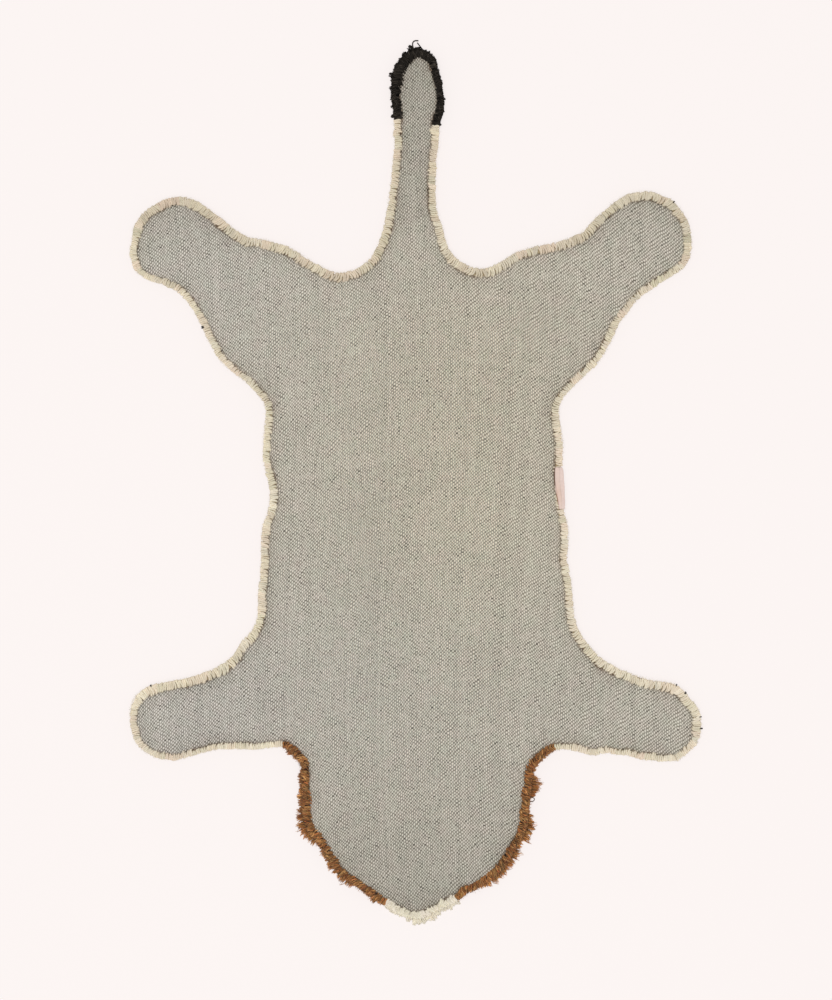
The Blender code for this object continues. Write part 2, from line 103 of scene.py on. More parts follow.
HEAD = (
    (-283.5, -131, 142), (-296, -121.5, 127.5), (-312, -120.5, 123), (-329.5, -120, 121.5),
    (-347.5, -119, 119), (-364.5, -114.5, 116.5), (-381, -102, 108), (-398, -91.5, 98),
    (-412.5, -80, 86), (-425, -62, 68), (-438, -43, 46), (-449.5, -23.5, 25),
)
CHIN_POINT = (0.5, -458.5)

# A stretch of the edge runs counter-clockwise, seen from above, to the next one's start. Its width
# is what its yarn covers of the canvas.
Stretch = namedtuple("Stretch", "key start_x start_y width yarn")
STRETCHES = (
    Stretch("tail_tip", 26, 376, 9, "black"),
    Stretch("cream_left", -23.5, 381, 7.2, "cream"),
    Stretch("mane_left", -140, -277.5, 8.9, "brown"),
    Stretch("chin", -32.5, -441.5, 8.7, "off_white"),
    Stretch("mane_right", 44, -439, 8.9, "brown"),
    Stretch("cream_right", 147, -281, 7.2, "cream"),
)
# Where the sewn edge bulges out past the smooth curve, or draws in: a point on it, how far the
# bulge reaches along, and how far out.
SWELLS = (
    (-25.5, 391, 14, -1.6), (-25, 378, 10, -1), (-23, 353, 12, -1.2), (-58, 229, 16, -1.5),
    (-130, 245, 22, 1.3), (-166, 256, 12, 1), (-201, 273, 32, 2.2), (-285, 284, 14, 1.2),
    (-300, 256, 14, -1.2), (-298, 229, 12, -1), (-253, 202, 10, -1), (-203, 128, 16, 1.3),
    (-159, 23, 16, 1.3), (-153, -27, 20, 1.4), (-165, -104, 14, -1.2), (-166, -131, 16, -1.2),
    (-180, -169, 17, 2.6), (-286, -218, 22, 1.2), (-293, -272, 22, 1.6), (-263, -291, 10, -1.4),
    (56, -432, 9, -1.4), (266, -293, 10, -1.3), (197, -284, 10, -1.2), (212, -284, 12, 1.6),
    (236, -289, 16, 1.4), (244, -205, 14, -1.1), (197, -184, 12, -1), (153, 63, 14, -1),
    (207, 155, 16, 1.3), (222, 180, 14, 1.1), (271, 217, 26, -2), (270, 295, 14, 1.2),
    (247, 306, 20, 1.5), (189, 275, 22, 2.2), (130, 248, 20, 1.2), (103, 240, 20, 1.5),
    (65, 225, 14, 1.1), (27, 266, 18, 1.8),
)
# How far the shag stands out past the edge: share of the way along its stretch, and reach.
TUFTS = {
    "tail_tip": (
        (0, 0.2), (0.02, -0.4), (0.07, 0.6), (0.09, 1.2), (0.13, 0.8), (0.16, 1.2), (0.18, 1),
        (0.2, -0.2), (0.222, -0.8), (0.25, 1), (0.267, 1.6), (0.29, -0.4), (0.41, -0.6),
        (0.43, 0.2), (0.46, 3.2), (0.52, 3.6), (0.56, 3.9), (0.58, 4.6), (0.6, 1.4), (0.63, -1),
        (0.71, -0.6), (0.735, 1.2), (0.75, 1.9), (0.775, -0.2), (0.8, 0.4), (0.85, -1),
        (0.95, -1), (0.98, -1.6), (1, -0.5),
    ),
    "mane_left": (
        (0, 2), (0.02, 1.8), (0.04, 3.4), (0.06, 6), (0.08, 3), (0.14, 0), (0.18, 4), (0.21, 2.9),
        (0.23, 2.2), (0.27, 3.2), (0.29, 6), (0.31, 4), (0.35, 4), (0.38, 6.8), (0.4, 10.2),
        (0.46, 9.9), (0.48, 5.6), (0.5, 8.2), (0.52, 6.4), (0.54, 1.6), (0.57, 1.6), (0.61, 4.4),
        (0.67, 4.4), (0.71, 4.6), (0.77, 5.6), (0.79, 6.8), (0.81, 3), (0.84, 0.2), (0.88, 1.2),
        (0.92, 2.6), (0.94, 4.6), (0.96, 4.6), (0.98, 1.6), (1, -0.8),
    ),
    "chin": (
        (0, 0.6), (0.1, 3), (0.16, 4.4), (0.21, 3.4), (0.26, 2), (0.3, 1.4), (0.33, -1.6),
        (0.38, 2.6), (0.44, 6), (0.5, 7), (0.56, 6.8), (0.67, 5.2), (0.73, 3.9), (0.78, 2.6),
        (0.82, 4), (0.86, 4.4), (0.93, 4.8), (0.96, 2), (0.98, -2), (1, -4),
    ),
    "mane_right": (
        (0, 0.8), (0.02, -1.2), (0.05, 0.2), (0.1, 0.1), (0.14, 3), (0.16, 4.8), (0.18, 5),
        (0.21, 3.6), (0.24, 7.4), (0.26, 6.2), (0.29, 8), (0.34, 6.8), (0.39, 7.4), (0.41, 5.2),
        (0.44, 5.2), (0.46, 3.1), (0.48, 5.2), (0.5, 9.8), (0.54, 8), (0.56, 6.6), (0.58, 7.2),
        (0.61, 3.4), (0.63, 1), (0.66, 0.2), (0.7, 0.8), (0.73, 6.2), (0.76, 12.2), (0.78, 8.8),
        (0.8, 4.4), (0.82, 2), (0.85, 2.4), (0.9, 2.8), (0.93, 2.5), (1, 1.4),
    ),
}


def linear(*screen):
    """Linear colours from ones given as they show on a screen, 0 to 255."""
    shares = np.array(screen) / 255.0
    return np.where(shares <= 0.04045, shares / 12.92, ((shares + 0.055) / 1.055) ** 2.4)


# ---- Yarns ----
# The colours of one yarn, how far its shade strays, how alike the wraps of one bundle are, the
# painted shade down its sides where it faces its neighbours, the colour of the core below the
# wraps, which is painted shade for the gaps between them, and the finish of its fibres.
Yarn = namedtuple("Yarn", "colours shade_spread kinship side_tint core roughness specular sheen")
YARNS = {
    "cream": Yarn(
        linear((238, 227, 201), (240, 218, 198), (226, 220, 192), (244, 236, 217)),
        0.08, 0.75, (0.76, 0.70, 0.60), linear(176, 158, 124), 0.90, 0.2, 0.12,
    ),
    "brown": Yarn(
        linear((180, 118, 66), (156, 77, 40), (206, 164, 106), (82, 44, 24), (146, 110, 56)),
        0.36, 0.42, (0.44, 0.36, 0.30), linear(48, 24, 13), 0.88, 0.15, 0.08,
    ),
    "off_white": Yarn(
        linear((243, 236, 219), (244, 233, 217), (237, 230, 206)),
        0.03, 0.70, (0.95, 0.93, 0.89), linear(232, 224, 205), 0.92, 0.2, 0.15,
    ),
    "black": Yarn(
        linear((36, 33, 31), (24, 22, 21), (48, 44, 40), (70, 64, 57)),
        0.30, 0.30, (0.50, 0.50, 0.50), linear(16, 14, 14), 0.90, 0.04, 0.0,
    ),
}
COLOUR_MIXING = 0.7         # below 1, a length of yarn is mostly of one of its colours
SHARED_SHADE = 0.7          # how much of a bundle's kinship its shade has


def around_leg(leg, paw):
    """A leg's landmarks: out along its edge towards the tail, round the paw and back."""
    upper = [(x, y) for x, y, _ in leg if y is not None]
    lower = [(x, y) for x, _, y in leg if y is not None]
    return upper + [paw] + lower[::-1]


def one_side(side, hind_leg, hind_paw, foreleg, fore_paw):
    """The landmarks from the tail to the head, on side 1 (left) or 2 (right)."""
    tail, flank, head = ([(row[side], row[0]) for row in part] for part in (TAIL, FLANKS, HEAD))
    return tail + around_leg(hind_leg, hind_paw) + flank + around_leg(foreleg, fore_paw) + head


def landmarks():
    """The rug's edge counter-clockwise from the tail's top."""
    left = one_side(1, HIND_LEG_LEFT, HIND_PAW_LEFT, FORELEG_LEFT, FORE_PAW_LEFT)
    right = one_side(2, HIND_LEG_RIGHT, HIND_PAW_RIGHT, FORELEG_RIGHT, FORE_PAW_RIGHT)
    return [Vector(point) for point in [TAIL_TOP] + left + [CHIN_POINT] + right[::-1]]


def smooth_loop(corners):
    """Points on the closed curve through the corners, with handles set by their neighbours."""
    count = len(corners)
    loop = []
    for index, here in enumerate(corners):
        before = corners[index - 1]
        after = corners[(index + 1) % count]
        beyond = corners[(index + 2) % count]
        handle = (after - here).length / 3.0
        leaving = here + handle * (after - before).normalized()
        arriving = after - handle * (beyond - here).normalized()
        loop += interpolate_bezier(here, leaving, arriving, after, CURVE_STEPS + 1)[:-1]
    return loop


def unit(vectors):
    """The vectors with length one."""
    return vectors / np.maximum(np.linalg.norm(vectors, axis=-1, keepdims=True), 1e-9)


def arch(shares):
    """A bow that is 0 at shares 0 and 1, and 1 halfway."""
    return 4.0 * (shares * (1.0 - shares))


class Edge:
    """The rug's edge. A place on it is the length along it from the tail's top."""

    def __init__(self, corners, swells):
        loop = np.array(smooth_loop(corners))
        self.loop = np.vstack([loop, loop[:1]])
        steps = np.linalg.norm(np.diff(self.loop, axis=0), axis=1)
        self.marks = np.concatenate([[0.0], np.cumsum(steps)])
        self.length = self.marks[-1]
        self.swell = self.bumps(swells)

    def bumps(self, rows):
        """The height at every mark of smooth bumps, each at (x, y) with a length and a height."""
        total = np.zeros(len(self.marks))
        for x, y, length, height in rows:
            off = np.abs(self.marks - self.nearest(x, y)) / length
            total += height * 0.5 * (1.0 + np.cos(np.pi * np.minimum(off, 1.0)))
        return total

    def at(self, places):
        """The points at places."""
        wrapped = np.mod(places, self.length)
        columns = [np.interp(wrapped, self.marks, self.loop[:, axis]) for axis in (0, 1)]
        return np.stack(columns, axis=-1)

    def along(self, places, reach=NORMAL_REACH):
        """The edge's direction at places."""
        return unit(self.at(places + reach) - self.at(places - reach))

    def inset(self, places, depths, reach=NORMAL_REACH):
        """The points at depths in from the edge."""
        along = self.along(places, reach)
        inward = np.stack([-along[..., 1], along[..., 0]], axis=-1)
        swell = np.interp(np.mod(places, self.length), self.marks, self.swell)
        return self.at(places) + (np.asarray(depths) - swell)[..., None] * inward

    def nearest(self, x, y):
        """The place of the edge's point nearest to (x, y)."""
        distances = np.linalg.norm(self.loop[:-1] - (x, y), axis=1)
        return self.marks[int(np.argmin(distances))]


EDGE = Edge(landmarks(), SWELLS)


def stretch_spans():
    """Each stretch's start and end place. The one over the tail's top starts below zero."""
    starts = [EDGE.nearest(row.start_x, row.start_y) for row in STRETCHES]
    spans = {}
    for row, start, end in zip(STRETCHES, starts, starts[1:] + starts[:1]):
        spans[row.key] = (start if start < end else start - EDGE.length, end)
    return spans


SPANS = stretch_spans()


def evenly(start, end, pitch):
    """Places from start to end, about a pitch apart."""
    return np.linspace(start, end, max(1, round((end - start) / pitch)) + 1)


def mid_steps(start, end, pitch):
    """Places in the middles of even steps from start to end, about a pitch apart."""
    count = round((end - start) / pitch)
    return start + (np.arange(count) + 0.5) * (end - start) / count


def scattered(key, pitch, rng, setback=0.0):
    """Random places on a stretch as (count, 1), about one for each pitch."""
    start, end = SPANS[key]
    return rng.uniform(start + setback, end - setback, (round((end - start) / pitch), 1))


def binding_width(places):
    """The binding's width at places, easing from one stretch's into the next one's."""
    marks, widths = [], []
    for before, row in zip(STRETCHES[-1:] + STRETCHES[:-1], STRETCHES):
        start = SPANS[row.key][0]
        marks += [start - WIDTH_BLEND, start + WIDTH_BLEND]
        widths += [before.width, row.width]
    return np.interp(places, marks, widths, period=EDGE.length)


def shag_inner(key, places):
    """Points on the shag's inner edge behind places on the rim of one stretch of the head."""
    start, end = SPANS[key]
    swell = np.sin(np.pi * np.clip((places - start) / (end - start), 0.0, 1.0))
    deeper = MANE_DEPTH - SHAG_END_DEPTH if key.startswith("mane") else 0.0
    return EDGE.inset(places, SHAG_END_DEPTH + deeper * swell, SHAG_NORMAL_REACH)


# ---- Meshes ----
SEED = 7
SEEDS = {"canvas": 1, "waves": 2, "dark patches": 3, "warp": 5, "weft": 6, "wraps": 10, "fuzz": 11,
         "loose": 12, "specks": 13, "pile": 20, "shag": 30}
WHITE = (1.0, 1.0, 1.0)
# Painted shade down the sides of rim strands and stray ends, where they face their neighbours.
PALE_SIDE_SHADE = (0.7, 0.68, 0.64)
UNEVEN = (0.7, 1.3)         # the least and most of a strand's width, as a share
STRAND_SIDES = 4
# Painted light: a ply is painted lighter where it stands out, and darker where it sinks.
PLY_PAINTED_LIGHT = 0.8           # how much lighter a ply is where it stands out
GRID_STRAY = 0.2            # share of a grid's pitch
UP = np.array([0.0, 0.0, 1.0])


def chance(use, *number):
    """A seeded source of random numbers for one use."""
    return np.random.default_rng([SEED, SEEDS[use], *number])


def undulation(points, use, wavelengths, amplitude):
    """Soft unevenness at (x, y) points: waves in seeded directions."""
    rng = chance(use)
    height = np.zeros(len(points))
    for wavelength in wavelengths:
        turn, phase = rng.uniform(0.0, 2.0 * np.pi, 2)
        run = points[:, 0] * math.cos(turn) + points[:, 1] * math.sin(turn)
        height += np.sin(2.0 * np.pi * run / wavelength + phase)
    return amplitude * height / len(wavelengths)


def add_object(name, data):
    """A new object in the scene."""
    item = bpy.data.objects.new(name, data)
    bpy.context.scene.collection.objects.link(item)
    return item


class Shape:
    """Gathers points, faces and a colour for each point, and becomes one object."""

    def __init__(self):
        self.points, self.faces, self.colours, self.count = [], [], [], 0

    def add(self, points, faces, colours):
        """Add points, faces that count from the first of them, and their colours."""
        for group in faces:
            self.faces += (np.asarray(group) + self.count).tolist()
        self.colours.append(np.broadcast_to(colours, points.shape).reshape(-1, 3))
        self.points.append(points.reshape(-1, 3))
        self.count += len(self.points[-1])

    def finish(self, name, material, slot, node):
        """The piece, in metres, riding on the rug and standing for a node."""
        mesh = bpy.data.meshes.new(name)
        mesh.from_pydata((np.concatenate(self.points) * MM).tolist(), [], self.faces)
        colours = np.ones((self.count, 4), np.float32)
        colours[:, :3] = np.concatenate(self.colours)
        attribute = mesh.attributes.new("yarn_colour", "FLOAT_COLOR", "POINT")
        attribute.data.foreach_set("color", colours.ravel())
        mesh.shade_smooth()
        mesh.materials.append(material)
        piece = add_object(name, mesh)
        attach(piece, "root")
        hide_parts(node)
        return piece


def with_height(spots, height):
    """Points of (x, y) spots and their heights."""
    height = np.broadcast_to(height, spots.shape[:-1])
    return np.concatenate([spots, height[..., None]], axis=-1)


def tube_faces(strands, stations, sides):
    """Faces of closed tubes whose points run strand by strand, station by station."""
    strand, station, side = np.meshgrid(
        np.arange(strands), np.arange(stations - 1), np.arange(sides), indexing="ij"
    )
    here = (strand * stations + station) * sides + side
    after = here - side + (side + 1) % sides
    quads = np.stack([here, after, after + sides, here + sides], -1)
    caps = np.arange(strands)[:, None] * stations * sides + np.arange(sides)
    return quads.reshape(-1, 4), caps[:, ::-1], caps + (stations - 1) * sides


def add_tubes(shape, paths, sideways, widths, colours, side_tint, sides, heights=None, plies=None):
    """Add strands of yarn along paths of shape (strand, station, 3).

    A strand's width is measured sideways. side_tint is the painted shade down its sides, where
    it faces its neighbours.
    heights are the same as widths where they aren't given. plies is the length of one twist, and
    how far the two plies stand out as a share of the thickness.
    """
    tangent = unit(np.gradient(paths, axis=1))
    side = unit(sideways - (sideways * tangent).sum(-1, keepdims=True) * tangent)
    up = np.cross(tangent, side)
    angles = 2.0 * np.pi * np.arange(sides) / sides
    # Painted shade: the sides that face the neighbouring strands take side_tint.
    facing = np.clip(np.sin(angles), 0.0, 1.0)[:, None]
    tint = np.asarray(side_tint) * (1.0 - facing) + facing
    relief = shade = np.ones((*paths.shape[:2], sides))
    if plies:
        pitch, depth = plies
        steps = np.linalg.norm(np.diff(paths, axis=1), axis=-1)
        run = np.concatenate([np.zeros((len(paths), 1)), np.cumsum(steps, axis=1)], axis=1)
        wave = np.cos(2.0 * np.pi * run[..., None] / pitch + 2.0 * angles)
        relief = 1.0 + depth * wave
        # painted light on the plies that stand out
        shade = 1.0 + PLY_PAINTED_LIGHT * depth * wave
    widths = np.asarray(widths)
    heights = widths if heights is None else heights
    offsets = (
        (widths[..., None] * np.cos(angles) * relief)[..., None] * side[:, :, None, :]
        + (heights[..., None] * np.sin(angles) * relief)[..., None] * up[:, :, None, :]
    )
    tinted = colours[:, :, None, :] * tint * shade[..., None]
    faces = tube_faces(*paths.shape[:2], sides)
    shape.add(paths[:, :, None, :] + 0.5 * offsets, faces, tinted)


# tint is the painted shade down the strands' sides; WHITE paints none.
def lay_yarn(shape, places, depths, levels, widths, colours, tint=WHITE, sides=STRAND_SIDES,
             **more):
    """Add strands that run through places on the edge, at depths in from it and at levels."""
    paths = with_height(EDGE.inset(places, depths), levels)
    sideways = with_height(EDGE.along(places), 0.0)
    add_tubes(shape, paths, sideways, widths, colours, tint, sides, **more)


def yarn_colours(yarn, rng, count, bundle=None):
    """Colours of many lengths of yarn, as (count, 1, 3); those of one bundle are alike."""
    style = YARNS[yarn]
    weights = rng.dirichlet(np.full(len(style.colours), COLOUR_MIXING), count)
    shade = rng.normal(1.0, style.shade_spread, count)
    if bundle is not None:
        kinship = style.kinship
        weights = kinship * weights[bundle] + (1.0 - kinship) * weights
        kinship = SHARED_SHADE * kinship
        shade = kinship * shade[bundle] + (1.0 - kinship) * shade
    return ((weights @ style.colours) * shade[:, None])[:, None, :]


def inside(points, outline):
    """Which of the points lie inside a closed outline."""
    found = np.zeros(len(points), bool)
    for (x1, y1), (x2, y2) in zip(outline, np.roll(outline, -1, axis=0)):
        crosses = (y1 > points[:, 1]) != (y2 > points[:, 1])
        if y1 != y2:
            reach = (x2 - x1) * (points[:, 1] - y1) / (y2 - y1) + x1
            found ^= crosses & (points[:, 0] < reach)
    return found


def grid_inside(outline, pitch, rng):
    """Points of a slightly uneven grid inside an outline."""
    columns, rows = (np.arange(low, high, pitch)
                     for low, high in zip(outline.min(axis=0), outline.max(axis=0)))
    points = np.stack(np.meshgrid(columns, rows), axis=-1).reshape(-1, 2)
    points = points + rng.uniform(-GRID_STRAY, GRID_STRAY, points.shape) * pitch
    return points[inside(points, outline)]


def fill(outline, inner_points, ridges=()):
    """Triangles that fill an outline through the points inside it: (points, triangles).

    ridges are pairs of inner points that an edge must join.
    """
    corners = [Vector(point) for point in np.vstack([outline, inner_points])]
    count = len(outline)
    edges = [(index, (index + 1) % count) for index in range(count)]
    edges += [(first + count, second + count) for first, second in ridges]
    points, _, faces, *_ = delaunay_2d_cdt(corners, edges, [], 1, 1e-6)
    return np.array([tuple(point) for point in points]), np.array(faces)


def add_plate(shape, rim, top, top_faces, under, under_faces, colours):
    """A closed plate between an upper and an under side, whose first points are its rim."""
    count = len(top)
    here = np.arange(rim)
    after = (here + 1) % rim
    walls = np.stack([here, here + count, after + count, after], axis=-1)
    shape.add(np.vstack([top, under]), [top_faces, under_faces[:, ::-1] + count, walls], colours)


# ---- Materials ----
CLOTH_SPECULAR = 0.2


def plug(node, inputs):
    """Set a node's inputs, by name or number, or link them to other nodes' outputs."""
    for name, value in inputs.items():
        if isinstance(value, bpy.types.NodeSocket):
            node.id_data.links.new(value, node.inputs[name])
        else:
            node.inputs[name].default_value = value


class Graph:
    """Short ways to add nodes to a new material."""

    def __init__(self, name, roughness):
        self.material = bpy.data.materials.new(name)
        self.material.use_nodes = True
        self.shader = self.material.node_tree.nodes["Principled BSDF"]
        plug(self.shader, {"Roughness": roughness, "Specular IOR Level": CLOTH_SPECULAR})
        self.place = self.node("TexCoord", {}, "Object")

    def node(self, kind, inputs, output=0, **settings):
        """The output of a new node, by name or number, or a slice of its outputs."""
        node = self.material.node_tree.nodes.new("ShaderNode" + kind)
        for name, value in settings.items():
            setattr(node, name, value)
        plug(node, inputs)
        return node.outputs[output]

    def math(self, operation, *values):
        """A Math node's result."""
        return self.node("Math", dict(enumerate(values)), operation=operation)

    def times(self, first, *others):
        """The product of values."""
        for other in others:
            first = self.math("MULTIPLY", first, other)
        return first

    def wave(self, kind, value, rate):
        """The sine or cosine of a value at a rate."""
        return self.math(kind, self.times(value, rate))

    def mix(self, share, first, second, blend="MIX"):
        """A colour mixed from two, which go into sockets 6 and 7."""
        inputs = {0: share, 6: first, 7: second}
        return self.node("Mix", inputs, 2, data_type="RGBA", blend_type=blend)

    def shaded(self, colour, shade):
        """A colour times a shade."""
        return self.mix(1.0, colour, self.vector(shade, shade, shade), "MULTIPLY")

    def vector(self, x, y, z=0.0):
        """A vector from three values."""
        return self.node("CombineXYZ", {0: x, 1: y, 2: z})

    def split(self, vector):
        """A vector's three values."""
        return self.node("SeparateXYZ", {0: vector}, slice(0, 3))

    def noise(self, scale, detail=2.0, vector=None):
        """Smooth noise round 0.5, over the object's own coordinates or a vector."""
        inputs = {"Vector": vector or self.place, "Scale": scale, "Detail": detail}
        return self.node("TexNoise", inputs)

    def white_noise(self, x, y):
        """A random value from 0 to 1 for each pair of values."""
        return self.node("TexWhiteNoise", {"Vector": self.vector(x, y)}, noise_dimensions="2D")

    def attribute(self, name, output="Color"):
        """An attribute of the mesh."""
        return self.node("Attribute", {}, output, attribute_name=name)

    def spread(self, value, low, high):
        """A value from 0 to 1 spread over low to high."""
        return self.math("MULTIPLY_ADD", value, high - low, low)

    def mottle(self, scale, detail, low, high):
        """Noise of a scale and detail, spread over low to high."""
        return self.spread(self.noise(scale, detail), low, high)

    def finish(self, colour, height, depth, strength=1.0):
        """Join up the colour and the relief."""
        relief = {"Height": height, "Distance": depth * MM, "Strength": strength}
        plug(self.shader, {"Base Color": colour, "Normal": self.node("Bump", relief)})
        return self.material


CANVAS_LIGHT = (*linear(218, 212, 199), 1.0)
CANVAS_DARK = (*linear(139, 132, 119), 1.0)
CANVAS_TINTS = ((0.93, 1.0, 0.95, 1.0), (1.06, 0.98, 1.0, 1.0))
CANVAS_TINT_NOISE = (70.0, 3.0)
CANVAS_RELIEF, CANVAS_BUMP = 0.3, 0.5
CANVAS_ROUGHNESS = 0.95
# How much the floats lean with their twist: the least, the place across the rug where that is,
# how much more for each metre from there, and the most.
LEAN_LEAST, LEAN_PLACE, LEAN_SLOPE, LEAN_MOST = 0.02, 0.11, 1.2, 0.18
HOLLOWS = (-0.1, 0.6)       # how much of the weft shows between the warp's floats
# Shades from the darkest to the lightest: along a thread's slubs, from thread to thread, and from
# float to float. Flecks also have the scale and detail of their noise.
SLUB_SCALE = 0.09 / MM
SLUB_STEP = 7.3             # how far apart two threads' slubs are in the noise
WARP_SLUBS, WEFT_SLUBS = (0.86, 1.14), (0.84, 1.16)
WARP_SEED, WEFT_SEED = 3.5, 7.5
WARP_THREADS, WEFT_THREADS = (0.90, 1.10), (0.94, 1.06)
FLOATS = (0.76, 1.24)
FLECKS = ((800.0, 2.0, 0.70, 1.30), (270.0, 2.0, 0.66, 1.34), (20.0, 4.0, 0.84, 1.16))
# Painted shade in the gaps between threads, and painted light on their middles: the shade
# halfway from a gap to the middle of a thread, and in the gap.
WARP_GAPS, WEFT_GAPS = (1.04, 0.50), (1.0, 0.86)
PIT_POWER = 3.2             # the higher, the fewer dark pits
PITS = (1.05, 0.28)         # the shade away from a pit, and in one
SHADE_MOST = 1.13


def canvas_material():
    """Plain weave: a plump ivory warp over a darker weft, which shows in the hollows."""
    g = Graph("canvas", CANVAS_ROUGHNESS)
    x, y, _ = g.split(g.place)
    u, v, _ = g.split(g.attribute("threads", "Vector"))
    warp, weft = g.math("FLOOR", u), g.math("FLOOR", v)
    # 1 on a warp float, -1 on a weft float
    float_wave = g.times(g.wave("SINE", u, math.pi), g.wave("SINE", v, math.pi))
    turned = g.times(g.wave("COSINE", u, math.pi), g.wave("COSINE", v, math.pi))
    off = g.math("ABSOLUTE", g.math("SUBTRACT", x, LEAN_PLACE))
    lean = g.math("MINIMUM", g.math("MULTIPLY_ADD", off, LEAN_SLOPE, LEAN_LEAST), LEAN_MOST)
    float_wave = g.math("MULTIPLY_ADD", turned, lean, float_wave)
    cell = g.white_noise(warp, weft)
    hollow = g.math("MULTIPLY_ADD", float_wave, -1.0, g.spread(cell, *HOLLOWS))
    hollow = g.math("MINIMUM", g.math("MAXIMUM", hollow, 0.0), 1.0)
    warp_slub = g.vector(g.times(warp, SLUB_STEP), g.times(y, SLUB_SCALE))
    weft_slub = g.vector(g.times(x, SLUB_SCALE), g.times(weft, SLUB_STEP))
    shade = g.times(
        g.spread(g.noise(1.0, vector=warp_slub), *WARP_SLUBS),
        g.spread(g.noise(1.0, vector=weft_slub), *WEFT_SLUBS),
        g.spread(g.white_noise(warp, WARP_SEED), *WARP_THREADS),
        g.spread(g.white_noise(weft, WEFT_SEED), *WEFT_THREADS),
        g.spread(cell, *FLOATS),
        *(g.mottle(*row) for row in FLECKS),
        # painted shade in the gaps between threads, painted light on their middles
        g.spread(g.wave("COSINE", u, math.tau), *WARP_GAPS),
        g.spread(g.wave("COSINE", v, math.tau), *WEFT_GAPS),
    )
    pit = g.math("POWER", g.white_noise(weft, warp), PIT_POWER)
    shade = g.times(shade, g.spread(g.times(pit, hollow), *PITS))
    shade = g.math("MINIMUM", shade, SHADE_MOST)
    thread = g.mix(hollow, CANVAS_LIGHT, CANVAS_DARK)
    thread = g.mix(1.0, thread, g.mix(g.noise(*CANVAS_TINT_NOISE), *CANVAS_TINTS), "MULTIPLY")
    thread = g.mix(1.0, thread, g.attribute("yarn_colour"), "MULTIPLY")
    height = g.math("SUBTRACT", 1.0, hollow)
    return g.finish(g.shaded(thread, shade), height, CANVAS_RELIEF, CANVAS_BUMP)


# Scale and detail of the noise, and the darkest and lightest shade that it gives.
YARN_FIBRES = (900.0, 4.0, 0.74, 1.26)
YARN_PATCHES = (180.0, 2.0, 0.88, 1.12)
YARN_RELIEF = 0.3
SHEEN_ROUGHNESS = 0.6


def yarn_material(yarn):
    """Spun yarn: its colour comes from each strand, with fibres along it."""
    style = YARNS[yarn]
    g = Graph(yarn + "_yarn", style.roughness)
    fibres = g.noise(*YARN_FIBRES[:2])
    shade = g.times(g.spread(fibres, *YARN_FIBRES[2:]), g.mottle(*YARN_PATCHES))
    plug(g.shader, {"Specular IOR Level": style.specular, "Sheen Weight": style.sheen,
                    "Sheen Roughness": SHEEN_ROUGHNESS})
    return g.finish(g.shaded(g.attribute("yarn_colour"), shade), fibres, YARN_RELIEF)


TAPE_RIB_PITCH = 0.6
TAPE_CROSS_PITCH = 0.5
TAPE_RIBS, TAPE_CROSS = 0.3, 0.2
TAPE_SHADES = (0.90, 1.08)
TAPE_WEAR = (300.0, 3.0, 0.90, 1.10)
TAPE_RELIEF = 0.2
TAPE_ROUGHNESS = 0.75


def label_material():
    """Pink woven tape with fine ribs across it and no text."""
    g = Graph("pink_tape", TAPE_ROUGHNESS)
    x, y, z = g.split(g.place)
    ribs = g.wave("SINE", y, math.tau / (TAPE_RIB_PITCH * MM))
    cross = g.wave("SINE", g.math("SUBTRACT", x, z), math.tau / (TAPE_CROSS_PITCH * MM))
    weave = g.math("MULTIPLY_ADD", cross, TAPE_CROSS, 0.5)
    weave = g.math("MULTIPLY_ADD", ribs, TAPE_RIBS, weave)
    shade = g.times(g.spread(weave, *TAPE_SHADES), g.mottle(*TAPE_WEAR))
    return g.finish(g.shaded(g.attribute("yarn_colour"), shade), weave, TAPE_RELIEF)


# ---- Canvas back ----
WARP_PITCH = 1.80
WEFT_PITCH = 1.79
WARP_SWAY = 6.1             # the warp sways this far to each side along the rug
WARP_SWAY_LENGTH = 735.0
WARP_SWAY_START = 65.1
WEFT_BOW_SLOPE = 0.275      # slope of the weft away from the middle of its bow
WEFT_BOW_MIDDLE = 43.6
WEFT_BOW_ROUND = 46.2
# How far threads wander, in threads, and the lengths of the waves in which they do.
WARP_STRAY, WARP_STRAY_WAVES = 0.85, (41.0, 30.0, 22.0, 16.0, 12.0, 9.0)
WEFT_STRAY, WEFT_STRAY_WAVES = 0.60, (33.0, 24.0, 17.0, 12.0, 9.0)
SETTLING_STEPS = 12
WEAVE_RELIEF = 0.15         # a warp float stands this far over the middle of the cloth
# The canvas along the binding: distance in from the yarn, height over the flat canvas, and how
# dark it is painted there, partly for the needle holes and the pulled-in threads and partly as
# painted shade beside the raised binding.
DIP_DISTANCES, DIP_HEIGHTS, DIP_DARKNESS = zip(
    (-2.6, -0.9, 1), (-0.2, -0.7, 1), (0.7, -0.4, 1), (1.7, -0.1, 0.42),
    (3, 0, 0.2), (6, 0, 0.13), (12, 0, 0.05), (17, 0, 0),
)
# The tint of that darkness: needle holes, and painted shade beside the binding.
NEEDLE_HOLE_AND_SHADE = np.array([0.32, 0.23, 0.17])
DARK_PATCH_WAVES = (19.0, 33.0, 61.0, 110.0)
DARK_PATCH_MEAN, DARK_PATCH_SWING = 0.85, 0.7
DARK_PATCH_SPECKLE = (0.45, 1.15)
OUTLINE_PITCH = 1.7
OUTLINE_COARSE = 4          # crossings are kept inside an outline through every fourth point
UNDERSIDE_GRID = 9.0
CANVAS_WAVES = (46.0, 63.0, 88.0, 120.0, 170.0)
CANVAS_WAVE_HEIGHT = 0.8
CANVAS_LEVEL = CLOTH_TOP - 0.1
CANVAS_SHEET = 1.7
